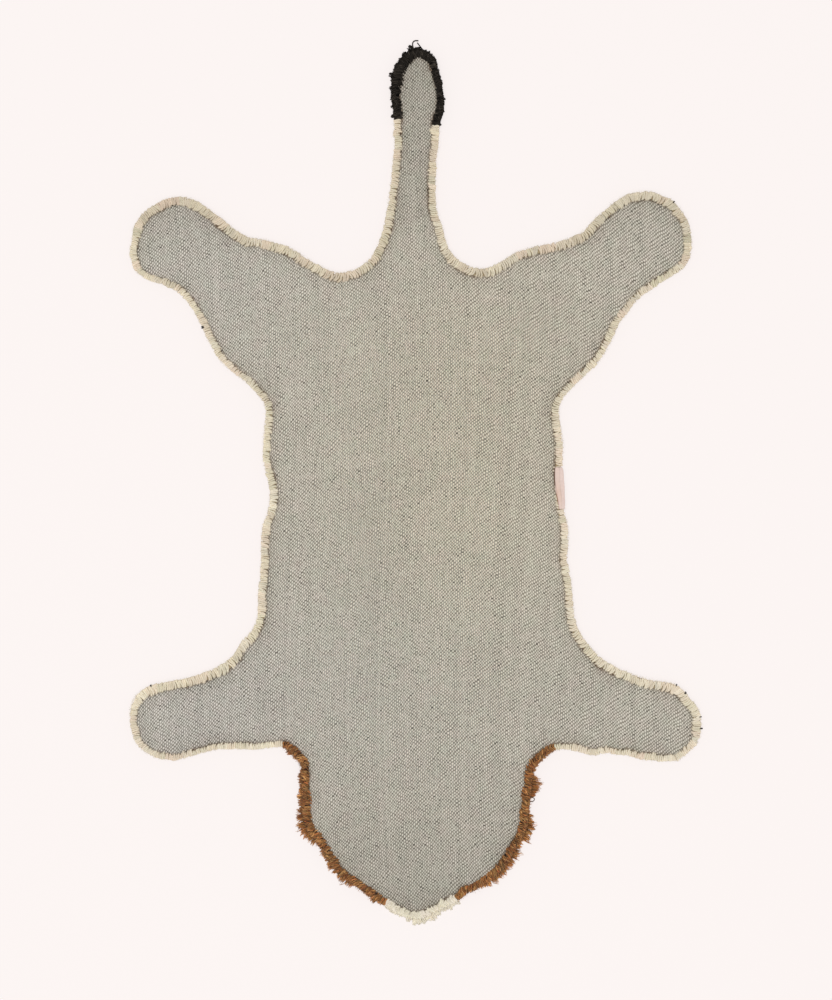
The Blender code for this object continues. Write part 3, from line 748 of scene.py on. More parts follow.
# The canvas is in less light towards the tail's tip and the chin: place along the rug, and shade.
LIGHT_SHARES = ((-450, 0.81), (-400, 0.87), (-330, 0.94), (-260, 0.98), (235, 1.02), (300, 0.91),
                (375, 0.89), (420, 0.79))
# Where the canvas is warmer or cooler than elsewhere: the place, how far round, and its tint.
TONES = (
    ((70, 120), 150, (1.02, 1.00, 0.96)),
    ((60, -60), 130, (1.02, 1.01, 0.97)),
    ((-230, 220), 110, (0.99, 1.00, 1.03)),
    ((-240, -245), 110, (0.99, 1.00, 1.05)),
    ((-60, -200), 120, (0.99, 1.00, 1.02)),
)


def threads(points):
    """How many warp and weft threads lie between (x, y) points and the rug's middle."""
    x, y = points[:, 0], points[:, 1]
    sway = WARP_SWAY * np.sin(math.tau * (y + WARP_SWAY_START) / WARP_SWAY_LENGTH)
    bow = WEFT_BOW_SLOPE * np.hypot(x - WEFT_BOW_MIDDLE, WEFT_BOW_ROUND)
    warp = (x - sway) / WARP_PITCH + undulation(points, "warp", WARP_STRAY_WAVES, WARP_STRAY)
    weft = (y + bow) / WEFT_PITCH + undulation(points, "weft", WEFT_STRAY_WAVES, WEFT_STRAY)
    return np.column_stack([warp, weft])


def crossings(outline):
    """Where the middles of the rug's threads cross inside an outline, and the ridges between.

    Ridges are pairs of points where the warp lies on top, across one crossing's hollow.
    """
    around = threads(EDGE.loop)
    low, high = np.floor(around.min(axis=0)), np.ceil(around.max(axis=0))
    warps, wefts = (np.arange(low[axis], high[axis], dtype=int) for axis in (0, 1))
    number = np.stack(np.meshgrid(warps, wefts), axis=-1)
    wanted = number.reshape(-1, 2) + 0.5
    pitches = np.array([WARP_PITCH, WEFT_PITCH])
    points = wanted * pitches
    for _ in range(SETTLING_STEPS):
        points = points + (wanted - threads(points)) * pitches
    keep = inside(points, outline)
    keep[keep] = beside_yarn(points[keep])[0] > DIP_DISTANCES[0] + 0.5 * WARP_PITCH
    index = np.where(keep, np.cumsum(keep) - 1, -1).reshape(number.shape[:2])
    on_top = number.sum(axis=-1)[:-1, :-1] % 2 == 0
    first = np.where(on_top, index[:-1, :-1], index[:-1, 1:])
    second = np.where(on_top, index[1:, 1:], index[1:, :-1])
    ridges = np.column_stack([first.ravel(), second.ravel()])
    return points[keep], ridges[(ridges >= 0).all(axis=1)].tolist()


def beside_yarn(points):
    """How far in from the yarn each point lies, and the place on the edge that is nearest."""
    places = np.arange(0.0, EDGE.length, 1.0)
    tree = KDTree(len(places))
    for index, (x, y) in enumerate(EDGE.inset(places, np.zeros(len(places)))):
        tree.insert((x, y, 0.0), index)
    tree.balance()
    found = [tree.find((x, y, 0.0)) for x, y in points]
    near = places[[index for _, index, _ in found]]
    return np.array([distance for _, _, distance in found]) - yarn_width(near), near


def make_canvas():
    """The canvas back, and its area: a closed sheet with a point on each crossing of its threads.

    It is a little uneven, and dips to the stitches along the binding.
    """
    rng = chance("canvas")
    places = evenly(0.0, EDGE.length, OUTLINE_PITCH)[:-1]
    outline = EDGE.inset(places, yarn_width(places) + DIP_DISTANCES[0])
    points, triangles = fill(outline, *crossings(outline[::OUTLINE_COARSE]))
    counts = threads(points)
    beside, near = beside_yarn(points)
    waves = undulation(points, "waves", CANVAS_WAVES, CANVAS_WAVE_HEIGHT)
    heights = CANVAS_LEVEL + waves + np.interp(beside, DIP_DISTANCES, DIP_HEIGHTS)
    heights += WEAVE_RELIEF * np.prod(np.sin(np.pi * counts), axis=1)
    patches = undulation(with_height(near[:, None], 0.0), "dark patches", DARK_PATCH_WAVES,
                         DARK_PATCH_SWING)
    # Painted shade beside the binding, together with the needle holes
    darkness = np.interp(beside, DIP_DISTANCES, DIP_DARKNESS)
    darkness = darkness * rng.uniform(*DARK_PATCH_SPECKLE, len(points))
    darkness = np.clip(darkness * (DARK_PATCH_MEAN + patches), 0.0, 1.0)
    light = np.interp(points[:, 1], *zip(*LIGHT_SHARES))
    colours = light[:, None] * (1.0 + darkness[:, None] * (NEEDLE_HOLE_AND_SHADE - 1.0))
    for place, reach, tint in TONES:
        away = np.linalg.norm(points - place, axis=1) / reach
        colours *= 1.0 + np.exp(-away ** 2)[:, None] * (np.array(tint) - 1.0)
    grid = grid_inside(EDGE.inset(places, yarn_width(places)), UNDERSIDE_GRID, rng)
    under, under_triangles = fill(outline, grid)
    under_heights = undulation(under, "waves", CANVAS_WAVES, CANVAS_WAVE_HEIGHT)
    under_heights += CANVAS_LEVEL + DIP_HEIGHTS[0] - 0.5 * CANVAS_SHEET
    shape = Shape()
    add_plate(shape, len(outline), with_height(points, heights), triangles,
              with_height(under, under_heights), under_triangles,
              np.vstack([colours, np.ones((len(under), 3))]))
    piece = shape.finish("canvas_sheet", canvas_material(), "canvas_back", "backing_cloth")
    counts = np.vstack([counts, threads(under)])
    attribute = piece.data.attributes.new("threads", "FLOAT_VECTOR", "POINT")
    attribute.data.foreach_set("vector", with_height(counts, 0.0).ravel())
    a, b, c = (points[triangles[:, corner]] for corner in range(3))
    area = 0.5 * np.abs(np.cross(b - a, c - a)).sum() * MM * MM
    return piece, float(area)


# ---- Bindings ----
# One wrap of yarn: share of the binding's width in from the edge, height, thickness as a share,
# and painted light and shade: darker at its inner end, lighter towards the rim. The first points
# are its upper face.
WRAP_SHARE, WRAP_HEIGHT, WRAP_THICKNESS, WRAP_LIGHT = np.array((
    (1.10, 10.20, 0.50, 0.80), (1.02, 11.10, 0.85, 0.90), (0.90, 11.65, 1.00, 0.94),
    (0.70, 11.95, 1.00, 0.94), (0.48, 11.95, 1.00, 0.96), (0.28, 11.60, 1.00, 1.03),
    (0.15, 10.85, 1.00, 1.07), (0.10, 9.85, 1.00, 1.07), (0.16, 8.95, 0.95, 1.00),
    (0.36, 8.40, 0.80, 1.00),
)).T
UPPER_POINTS = 7
# The core under the wraps, which the gaps between them show, coloured as painted shade: share
# of the width, and height.
CORE_SHARE, CORE_HEIGHT = np.array((
    (0.96, 10.40), (0.84, 10.95), (0.45, 11.15), (0.26, 10.70), (0.20, 9.80), (0.28, 8.90),
    (0.90, 8.70),
)).T
CORE_PITCH = 3.0
CORE_SETBACK = 0.2
# How one yarn is wrapped: pitch and thickness of the wraps, how far they lean and curve along the
# edge as shares of the width, how uneven their two ends are, how far they ride up, how wide each
# is beside the pitch, how far loose fibres stand out, their pitch, and the wraps' painted shade at
# the rim, for the groove above the shag.
Wrapping = namedtuple(
    "Wrapping", "pitch thickness slant slant_spread sway inner_spread outer_spread lift fill fuzz "
    "fuzz_pitch rim"
)
WRAPPINGS = {
    "cream": Wrapping(2.05, 1.55, 0.20, 0.20, 0.06, 0.65, 0.55, 0.16, 1.14, 0.35, 0.55, 1.0),
    "brown": Wrapping(1.45, 1.35, 0.40, 0.24, 0.12, 0.80, 0.45, 0.34, 1.02, 0.55, 0.42, 0.90),
    "off_white": Wrapping(2.10, 1.55, 0.12, 0.25, 0.08, 1.10, 0.70, 0.20, 1.30, 0.50, 0.45, 1.0),
    "black": Wrapping(1.90, 1.45, 0.10, 0.34, 0.10, 0.70, 0.35, 0.34, 1.08, 0.20, 0.80, 0.8),
}
WRAP_STRAY = 0.07           # along the edge, as a share of the pitch
WRAPS_IN_BUNDLE = (3, 8)    # at least the first, and fewer than the second
# How far wraps stray, as shares: with their bundle, and by themselves.
INNER_STRAY, OUTER_STRAY, SLANT_STRAY, LIFT_STRAY = (0.6, 0.8), (0.7, 0.7), (0.7, 0.6), (0.4, 0.9)
WRAP_WIDTH_SPREAD, WRAP_THICKNESS_SPREAD = 0.08, 0.06
WRAP_PIVOT = 0.4            # share of the width about which a wrap leans
STRAIGHT_ENDS = 9.0         # the wraps lean less and less over this length to a stretch's ends
# The yarn is in less light on the hind legs and the tail: between which two places along the rug
# its tint sets in, and that tint.
YARN_LIGHT = (180.0, 260.0)
YARN_SHADE = np.array([0.955, 0.945, 0.925])
YARN_FACING = 0.09          # how much darker it is there where the edge faces the tail
# Outside this share of the width the wraps take their painted shade at the rim.
RIM_SHARE = 0.25
WRAP_SIDES = 8
PLY_TWIST = (5.0, 0.10)
# How wide the yarn is round the tail's tip: a point on the edge, and the width.
YARN_REACHES = (
    (26, 376, 8.5), (29.5, 394, 7.2), (28.5, 415, 7), (24, 436, 7.9), (17, 449.5, 8.3),
    (2.5, 455, 7.3), (-14, 448.5, 11.6), (-21, 439, 11.8), (-26, 415, 9.9), (-25.5, 394, 8.7),
    (-23.5, 384, 8.3),
)
YARN_TILT = 1.5             # the yarn covers more where the edge faces the tail
YARN_TILT_REACH = 12.0
# Where it covers more or less elsewhere: a point on the edge, how far along, and by how much.
WIDENING = EDGE.bumps((
    (-33, 270, 12, 1.2), (-23, 350, 10, -1.1), (-177, 259, 14, 1.3), (-202, 274, 14, 1),
    (-254, 301, 16, -1), (-293, 268, 14, 1.2), (-213, 143, 12, 1.1), (-159, 45, 14, -0.8),
    (-153, -24, 12, 0.9), (-175, -160, 10, 1.4), (-202, -189, 12, 2), (-277, -213, 14, 1.5),
    (-269, -289, 12, 1), (-180, -279, 18, 1.1), (-120, -317, 10, -1.2), (-107, -374, 14, 1.6),
    (54, -433, 10, 1.3), (122, -319, 10, -1.4), (245, -288, 34, 1.1), (299, -254, 20, 2.4),
    (275, -212, 14, 1.4),
))


def yarn_width(places):
    """The width that the yarn covers at places: near the binding's, but for the tail's tip."""
    start, end = SPANS["tail_tip"]
    reaches = []
    for x, y, width in YARN_REACHES:
        mark = EDGE.nearest(x, y)
        reaches.append((mark - EDGE.length if mark > end + WIDTH_BLEND else mark, width))
    turns = np.mod(places - start + WIDTH_BLEND, EDGE.length) + start - WIDTH_BLEND
    plain = binding_width(places) - YARN_TILT * EDGE.along(places, YARN_TILT_REACH)[..., 0]
    plain = plain + np.interp(np.mod(places, EDGE.length), EDGE.marks, WIDENING)
    tip = np.interp(turns, *zip(*sorted(reaches)))
    ease = np.interp(turns, (start - WIDTH_BLEND, start, end, end + WIDTH_BLEND), (0, 1, 1, 0))
    return plain + (tip - plain) * ease


def add_core(shape, row):
    """The core under one stretch of binding, its colour painted shade for the gaps."""
    start, end = SPANS[row.key]
    stations = evenly(start + CORE_SETBACK, end - CORE_SETBACK, CORE_PITCH)
    places = np.broadcast_to(stations[:, None], (len(stations), len(CORE_SHARE)))
    points = with_height(EDGE.inset(places, yarn_width(places) * CORE_SHARE), CORE_HEIGHT)
    shape.add(points, tube_faces(1, *places.shape), YARNS[row.yarn].core)


def add_wraps(shape, row, rng):
    """The wraps of one stretch of binding, in bundles that lie alike."""
    start, end = SPANS[row.key]
    style = WRAPPINGS[row.yarn]
    places = mid_steps(start, end, style.pitch)
    count = len(places)
    bundle = np.repeat(np.arange(count), rng.integers(*WRAPS_IN_BUNDLE, count))[:count]

    def stray(shared, own):
        """How far each wrap strays."""
        return shared * rng.normal(size=count)[bundle] + own * rng.normal(size=count)

    places = places + rng.normal(0.0, WRAP_STRAY * style.pitch, count)
    inner = yarn_width(places) + style.inner_spread * stray(*INNER_STRAY)
    outer = style.outer_spread * stray(*OUTER_STRAY)
    slant = style.slant + style.slant_spread * stray(*SLANT_STRAY)
    lift = style.lift * stray(*LIFT_STRAY)
    slant = slant * np.minimum(1.0, np.minimum(places - start, end - places) / STRAIGHT_ENDS)
    lean = slant[:, None] * (WRAP_SHARE - WRAP_PIVOT)
    lean = lean + style.sway * np.sin(2.0 * np.pi * WRAP_SHARE)
    where = places[:, None] + lean * inner[:, None]
    depth = outer[:, None] * (1.0 - WRAP_SHARE) + inner[:, None] * WRAP_SHARE
    height = WRAP_HEIGHT + lift[:, None] * WRAP_THICKNESS
    width = style.pitch * style.fill * rng.normal(1.0, WRAP_WIDTH_SPREAD, (count, 1))
    thickness = style.thickness * rng.normal(1.0, WRAP_THICKNESS_SPREAD, (count, 1))
    # painted shade at the rim, in the groove above the shag
    rim = np.where(WRAP_SHARE < RIM_SHARE, style.rim, 1.0)
    colours = yarn_colours(row.yarn, rng, count, bundle) * (WRAP_LIGHT * rim)[:, None]
    shaded = np.interp(EDGE.at(places)[:, 1], YARN_LIGHT, (0.0, 1.0))[:, None, None]
    facing = np.maximum(0.0, -EDGE.along(places, YARN_TILT_REACH)[:, 0])[:, None, None]
    colours = colours * (1.0 + shaded * (YARN_SHADE - YARN_FACING * facing - 1.0))
    lay_yarn(shape, where, depth, height, width * WRAP_THICKNESS, colours,
             YARNS[row.yarn].side_tint, WRAP_SIDES, heights=thickness * WRAP_THICKNESS,
             plies=PLY_TWIST)


FUZZ_STATIONS = np.array([0.0, 0.5, 1.0])
FUZZ_WIDTHS = 0.18 * np.array([1.0, 0.9, 0.5])
FUZZ_ROOT = 0.9
FUZZ_TURN, FUZZ_CURL = 1.2, 0.5
FUZZ_HEIGHTS, FUZZ_RISE = (9.6, 11.3), 0.5


def add_fuzz(shape, row, rng):
    """Loose fibres along the outer side of one stretch of binding."""
    style = WRAPPINGS[row.yarn]
    places = scattered(row.key, style.fuzz_pitch, rng)
    count = len(places)
    turn = rng.normal(0.0, FUZZ_TURN, (count, 1))
    curl = rng.normal(0.0, FUZZ_CURL, (count, 1))
    reach = rng.gamma(2.0, style.fuzz, (count, 1))
    where = places + turn * FUZZ_STATIONS + curl * arch(FUZZ_STATIONS)
    depth = FUZZ_ROOT - (FUZZ_ROOT + reach) * FUZZ_STATIONS
    height = rng.uniform(*FUZZ_HEIGHTS, (count, 1))
    height = height + rng.normal(0.0, FUZZ_RISE, (count, 1)) * FUZZ_STATIONS
    colours = yarn_colours(row.yarn, rng, count)
    lay_yarn(shape, where, depth, height, FUZZ_WIDTHS, colours, sides=3)


# Strands that lie loose over the wraps: their pitch, width, turn from straight across, length,
# shade, and least depth in from the edge.
Loose = namedtuple("Loose", "pitch width turn shortest longest darkest lightest outermost")
LOOSE = {
    "cream": Loose(5.0, 0.50, 0.50, 2.0, 5.0, 0.85, 1.10, -0.6),
    "brown": Loose(0.72, 1.10, 0.26, 3.0, 7.0, 0.55, 1.32, 1.3),
    "off_white": Loose(1.2, 0.70, 0.60, 2.0, 5.0, 0.94, 1.08, -0.6),
    "black": Loose(0.8, 0.70, 0.60, 2.5, 6.0, 0.50, 1.90, -0.2),
}
LOOSE_STATIONS = np.array([-0.5, -0.17, 0.17, 0.5])
LOOSE_TAPER = np.array([0.5, 1.0, 1.0, 0.5])
LOOSE_LIFT, LOOSE_RISE = 0.75, 0.5
LOOSE_SETBACK = 2.0
LOOSE_SHARES = (0.05, 1.0)  # of the binding's width in from the edge, for their middles
LOOSE_BOW = 0.5
LOOSE_PAST = 0.2            # how far they may reach past the wraps' inner ends


def add_loose(shape, row, rng):
    """Strands that lie loose over the wraps of one stretch."""
    style = LOOSE[row.yarn]
    places = scattered(row.key, style.pitch, rng, LOOSE_SETBACK)
    count = len(places)
    turn = rng.normal(WRAPPINGS[row.yarn].slant, style.turn, (count, 1))
    length = rng.uniform(style.shortest, style.longest, (count, 1))
    widths = yarn_width(places)
    middle = rng.uniform(*LOOSE_SHARES, (count, 1)) * widths
    bow = rng.normal(0.0, LOOSE_BOW, (count, 1)) * (1.0 - 4.0 * LOOSE_STATIONS ** 2)
    where = places + length * np.sin(turn) * LOOSE_STATIONS + bow
    depth = middle + length * np.cos(turn) * LOOSE_STATIONS
    depth = np.clip(depth, style.outermost, widths + LOOSE_PAST)
    upper = slice(UPPER_POINTS - 1, None, -1)
    over_wraps = np.interp(depth / widths, WRAP_SHARE[upper], WRAP_HEIGHT[upper]) + LOOSE_LIFT
    height = over_wraps + rng.uniform(0.0, LOOSE_RISE, (count, 1))
    breadth = style.width * rng.uniform(*UNEVEN, (count, 1)) * LOOSE_TAPER
    colours = yarn_colours(row.yarn, rng, count)
    colours = colours * rng.uniform(style.darkest, style.lightest, (count, 1, 1))
    lay_yarn(shape, where, depth, height, breadth, colours)


# Dark ends of yarn that poke out through the cream binding: a point on the edge, and how big.
SPECKS = (
    (-223.1, 164.9, 1.7), (-277.7, -213.2, 1.4), (274.6, -212.6, 1.4), (283.5, -221.6, 2.2),
    (300.6, -244.7, 1.5), (300.6, -258.3, 2.1), (270.4, 294, 1.3),
)
SPECK_STRANDS = 5
SPECK_SIDES = 5
SPECK_TURN, SPECK_SPREAD = 0.35, 0.2
# Their strands from root to tip: how far they turn aside, depth in from the edge, how much
# further out a bigger one reaches, and height.
SPECK_RUN = np.array([0.4, 1.0, 1.3])
SPECK_DEPTHS = np.array([1.4, 0.6, 0.0])
SPECK_REACH = np.array([0.0, 0.0, 0.5])
SPECK_HEIGHTS = np.array([11.4, 12.2, 11.8])


def add_specks(shape, row, rng):
    """The dark ends of yarn on one stretch."""
    start, end = SPANS[row.key]
    for x, y, size in SPECKS:
        place = EDGE.nearest(x, y)
        if start < place < end:
            where = place + rng.normal(0.0, SPECK_TURN * size, (SPECK_STRANDS, 1)) * SPECK_RUN
            depth, height = (rows + rng.normal(0.0, SPECK_SPREAD, (SPECK_STRANDS, 1))
                             for rows in (SPECK_DEPTHS - size * SPECK_REACH, SPECK_HEIGHTS))
            colours = yarn_colours("black", rng, SPECK_STRANDS)
            lay_yarn(shape, where, depth, height, 0.5 * size, colours, sides=SPECK_SIDES)


def make_binding(number, row, material):
    """The overcast binding on one stretch."""
    shape = Shape()
    add_core(shape, row)
    for use, add in (("wraps", add_wraps), ("fuzz", add_fuzz), ("loose", add_loose),
                     ("specks", add_specks)):
        add(shape, row, chance(use, number))
    slot = row.yarn + "_binding"
    return shape.finish("overcast_" + row.key, material, slot, "binding_" + row.key)


# ---- Pile ----
RIM_PITCH = 1.15
RIM_ROWS = (2.1, 3.2)
RIM_WIDTH = 1.3
# A rim strand from its top to its foot: height, splay, painted shade (darker at the top, under
# the binding), how far it leans, and its width.
RIM_HEIGHTS = np.array([8.5, 4.4, 0.0])
RIM_SPLAY = np.array([0.5, 0.1, -0.5])
RIM_PAINTED_SHADE = np.array([0.70, 0.92, 1.04])
RIM_LEAN = np.array([0.0, 0.6, 1.0])
RIM_WIDTHS = np.array([0.9, 1.1, 0.9])
RIM_STRAY = 0.25
RIM_FEET = (0.1, 1.2)       # how high over the floor they end
RIM_LEAN_SPREAD, RIM_WIDTH_SPREAD = 0.5, 0.15
RIM_LIGHTS = (0.86, 1.06)
PILE_GRID = 6.0
PILE_LUMPS = 1.4
PILE_EDGE = 3.2             # the slabs' sides lie this far in from the edge
SLAB_CLEARANCE = 0.4        # no point of the grid is nearer to the side, as a share of its pitch
SLAB_LUMPS = (0.15, 1.0)
SLAB_SHADE_SPREAD = 0.05


def add_slab(shape, outline, grid, rng, colour, lump):
    """A closed slab of pile: flat on top and lumpy below."""
    inner = grid_inside(outline, grid, rng)
    nearest = np.array([np.linalg.norm(outline - point, axis=1).min() for point in inner])
    points, triangles = fill(outline, inner[nearest > SLAB_CLEARANCE * grid])
    under = with_height(points, rng.uniform(*SLAB_LUMPS, len(points)) * lump)
    shades = rng.normal(1.0, SLAB_SHADE_SPREAD, (2 * len(points), 1)) * colour
    add_plate(shape, len(outline), with_height(points, CLOTH_BOTTOM), triangles, under, triangles,
              shades)


def add_rim(shape, yarn, start, end, rng):
    """Rows of cut strands that stand under the binding round the pile's side."""
    for depth in RIM_ROWS:
        places = mid_steps(start, end, RIM_PITCH)
        count = len(places)
        places = places + rng.normal(0.0, RIM_STRAY * RIM_PITCH, count)
        depths = depth + rng.normal(0.0, RIM_STRAY, count)
        level = RIM_HEIGHTS + np.outer(rng.uniform(*RIM_FEET, count), (0.0, 0.0, 1.0))
        where = places[:, None] + rng.normal(0.0, RIM_LEAN_SPREAD, (count, 1)) * RIM_LEAN
        breadth = RIM_WIDTH * rng.normal(1.0, RIM_WIDTH_SPREAD, (count, 1)) * RIM_WIDTHS
        shade = rng.uniform(*RIM_LIGHTS, (count, 1)) * RIM_PAINTED_SHADE
        colours = yarn_colours(yarn, rng, count) * shade[..., None]
        lay_yarn(shape, where, depths[:, None] + RIM_SPLAY, level, breadth, colours, PALE_SIDE_SHADE)


def make_body_pile(material):
    """The cream pile under body, legs and tail."""
    rng = chance("pile")
    shape = Shape()
    spans = [SPANS["cream_left"], SPANS["cream_right"]]
    for span in spans:
        add_rim(shape, "cream", *span, rng)
    left, right = (EDGE.inset(evenly(*span, PILE_GRID), PILE_EDGE) for span in spans)
    head = [shag_inner(key, evenly(*SPANS[key], SHAG_LINE_PITCH)[:-1])
            for key in ("mane_left", "chin", "mane_right")]
    colour = np.mean(YARNS["cream"].colours, axis=0)
    add_slab(shape, np.vstack([left, *head, right]), PILE_GRID, rng, colour, PILE_LUMPS)
    return shape.finish("cream_pile", material, "cream_pile", "pile_body")


# Tufts that stand out from the rest: where each ends in the rug's frame, and its half width.
SPIKES = {
    "tail_tip": (
        (-28.8, 429.6, 2.2), (-28.2, 415.5, 2.4), (-27, 403.3, 1.8), (-26.6, 396.2, 1),
        (-26.2, 384.8, 0.7), (-22.8, 439.8, 2.2), (-13.7, 452.8, 1.6), (-6.4, 461.4, 2.1),
        (-17.8, 447, 1.6), (27.2, 427.6, 1), (28.8, 422.8, 1.4), (32, 403.8, 1.2),
        (30.6, 390.4, 1), (27.4, 377, 1.2), (14.7, 455.2, 1.2), (25.5, 434.7, 0.8),
    ),
    "mane_left": (
        (-134.2, -286, 2.2), (-124.9, -307.2, 2.4), (-123.9, -315, 1), (-123.4, -322.4, 0.9),
        (-125.5, -329.2, 1.5), (-123.4, -339.2, 1), (-125.8, -353.8, 3.2), (-124.6, -360.6, 2.4),
        (-121, -368.6, 2.2), (-113.6, -376.2, 1.8), (-88.2, -404.4, 1.6), (-78.5, -418.5, 2.2),
        (-73, -424.6, 3.2), (-66, -424.5, 1.2), (-51, -432.3, 1.3), (-44, -438.6, 1.6),
        (-37.5, -441.5, 1.4),
    ),
    "mane_right": (
        (74, -425.3, 1.2), (87.6, -417.6, 2.4), (96.1, -411.6, 1.6), (103.4, -403.2, 1.6),
        (107.6, -393.8, 2.4), (110.8, -380.1, 1.4), (121.3, -375.4, 1.4), (123.4, -369.6, 1.3),
        (126.5, -364.4, 1.2), (125.5, -357, 1.4), (132.8, -317.6, 3), (131.4, -321.6, 2.6),
        (127, -328, 1.6), (129.8, -311.4, 2),
    ),
    "chin": (
        (-1.5, -465.6, 1.8), (4.5, -464.6, 1.6), (12, -460.5, 1.6), (-9, -461.5, 1.8),
        (31, -446.5, 1.4),
    ),
}
# Rows of tufts below the binding, from the lowest up: depth of the roots in from the edge, their
# height, the tips' height, and the row's share of the shag's reach.
FRINGE_ROWS = ((5.0, 3.6, 0.7, 0.76), (4.0, 5.2, 2.6, 1.04), (3.2, 6.8, 5.0, 0.84))
# One yarn's shag: pitch of the tufts, width of a strand, its width at the tip as a share, how far
# it turns aside, its strands' shade, and how bright they are at the root and at the tip: darker
# at the root as painted shade under the binding, lighter at the tip as painted light.
Shag = namedtuple("Shag", "pitch width tip turn darkest lightest root_shade tip_shade")
SHAGS = {
    "brown": Shag(3.1, 0.84, 0.26, 0.26, 0.60, 1.70, 0.44, (1.66, 1.64, 1.46)),
    "off_white": Shag(2.2, 1.40, 0.75, 0.30, 1.00, 1.10, 1.00, 1.04),
    "black": Shag(2.4, 0.98, 0.60, 0.30, 0.70, 1.40, 0.80, 0.95),
}
SHAG_RIM_PITCH = 4.0
SHAG_GRID = 3.5
SHAG_LUMPS = 2.4
STRANDS_IN_TUFT = 9
STRANDS_IN_SPIKE = 18
STRAND_STATIONS = np.array([0.0, 0.35, 0.7, 1.0])
STRAND_ARCH = arch(STRAND_STATIONS)
STRAND_BOW = 0.13           # as a share of its length
STRAND_TAPER_FROM = 0.4
TUFT_PLACES = (0.1, 0.9)    # where in its step along the edge a tuft may stand
TUFT_REACHES, STRAND_REACHES = (0.60, 1.35), (0.50, 1.15)
# How far a tuft's strands stray along the edge, in depth and in height.
ROOT_SPREAD, ROOT_DEPTH_SPREAD, ROOT_HEIGHT_SPREAD = 0.5, 0.3, 0.4
TIP_SPREAD, TIP_HEIGHT_SPREAD = 0.5, 0.7
TIP_SETBACK = 0.3
SPIKE_DEPTH = 1.8
SPIKE_SHORTER = 1.4
SPIKE_ROOTS = 0.8           # how wide a spike's root is beside its tip
SPIKE_ROOT_HEIGHTS, SPIKE_TIP_HEIGHTS = (7.0, 9.5), (3.0, 8.5)


def add_strands(shape, yarn, roots, tips, rng, tuft):
    """Strands from roots to tips, bowed a little. tuft gives each strand's tuft."""
    style = SHAGS[yarn]
    count = len(roots)
    t = STRAND_STATIONS[:, None]
    run = tips - roots
    aside = unit(np.cross(UP, run))
    bow = rng.normal(0.0, STRAND_BOW, count) * np.linalg.norm(run, axis=1)
    paths = roots[:, None, :] + run[:, None, :] * t
    paths = paths + (bow[:, None] * STRAND_ARCH)[..., None] * aside[:, None, :]
    paths[..., 2] = np.maximum(paths[..., 2] + 0.5 * STRAND_ARCH, 0.5 * style.width)
    taper = np.interp(STRAND_STATIONS, (STRAND_TAPER_FROM, 1.0), (1.0, style.tip))
    breadth = style.width * rng.uniform(*UNEVEN, (count, 1)) * taper
    shade = rng.uniform(style.darkest, style.lightest, (count, 1, 1))
    # painted shade at the roots, painted light at the tips
    shade = shade * (style.root_shade * (1.0 - t) + np.array(style.tip_shade) * t)
    colours = yarn_colours(yarn, rng, count, tuft) * shade
    # painted shade down the strands' sides, half as deep as the yarn's
    soft_side_shade = 0.5 * (1.0 + np.array(YARNS[yarn].side_tint))
    add_tubes(shape, paths, aside[:, None, :], breadth, colours, soft_side_shade, STRAND_SIDES)


def add_fringe_row(shape, key, yarn, row, rng):
    """One row of cut tufts that lean out below the binding."""
    root_depth, root_height, tip_height, share = row
    start, end = SPANS[key]
    style = SHAGS[yarn]
    count = round((end - start) / style.pitch)
    places = np.arange(count) + rng.uniform(*TUFT_PLACES, count)
    places = start + places * (end - start) / count
    reach = np.interp((places - start) / (end - start), *zip(*TUFTS[key])) * share
    reach = reach * rng.uniform(*TUFT_REACHES, count)
    turn = style.turn * rng.normal(size=count) * (root_depth + reach)
    tuft = np.repeat(np.arange(count), STRANDS_IN_TUFT)
    many = len(tuft)
    root_places = places[tuft] + rng.normal(0.0, ROOT_SPREAD, many)
    tip_places = places[tuft] + turn[tuft] + rng.normal(0.0, TIP_SPREAD, many)
    tip_places = np.clip(tip_places, start - TIP_SPREAD, end + TIP_SPREAD)
    roots = EDGE.inset(root_places, root_depth + rng.normal(0.0, ROOT_DEPTH_SPREAD, many))
    tips = EDGE.inset(tip_places, TIP_SETBACK - reach[tuft] * rng.uniform(*STRAND_REACHES, many))
    roots = with_height(roots, root_height + rng.normal(0.0, ROOT_HEIGHT_SPREAD, many))
    tips = with_height(tips, np.abs(tip_height + rng.normal(0.0, TIP_HEIGHT_SPREAD, many)))
    add_strands(shape, yarn, roots, tips, rng, tuft)


def add_spikes(shape, key, yarn, rng):
    """The tufts that stand out furthest, a thick clump of strands each."""
    many = STRANDS_IN_SPIKE
    for x, y, spread in SPIKES[key]:
        place = EDGE.nearest(x, y)
        tip = np.array([x, y])
        offsets = rng.uniform(-1.0, 1.0, many) * spread
        roots = EDGE.inset(place + SPIKE_ROOTS * offsets, SPIKE_DEPTH)
        outward = unit(tip - EDGE.at(place))
        shorter = rng.uniform(0.0, SPIKE_SHORTER, many) + 0.5 * np.abs(offsets)
        tips = tip + offsets[:, None] * EDGE.along(place) - shorter[:, None] * outward
        roots = with_height(roots, rng.uniform(*SPIKE_ROOT_HEIGHTS, many))
        tips = with_height(tips, rng.uniform(*SPIKE_TIP_HEIGHTS, many))
        add_strands(shape, yarn, roots, tips, rng, np.zeros(many, int))


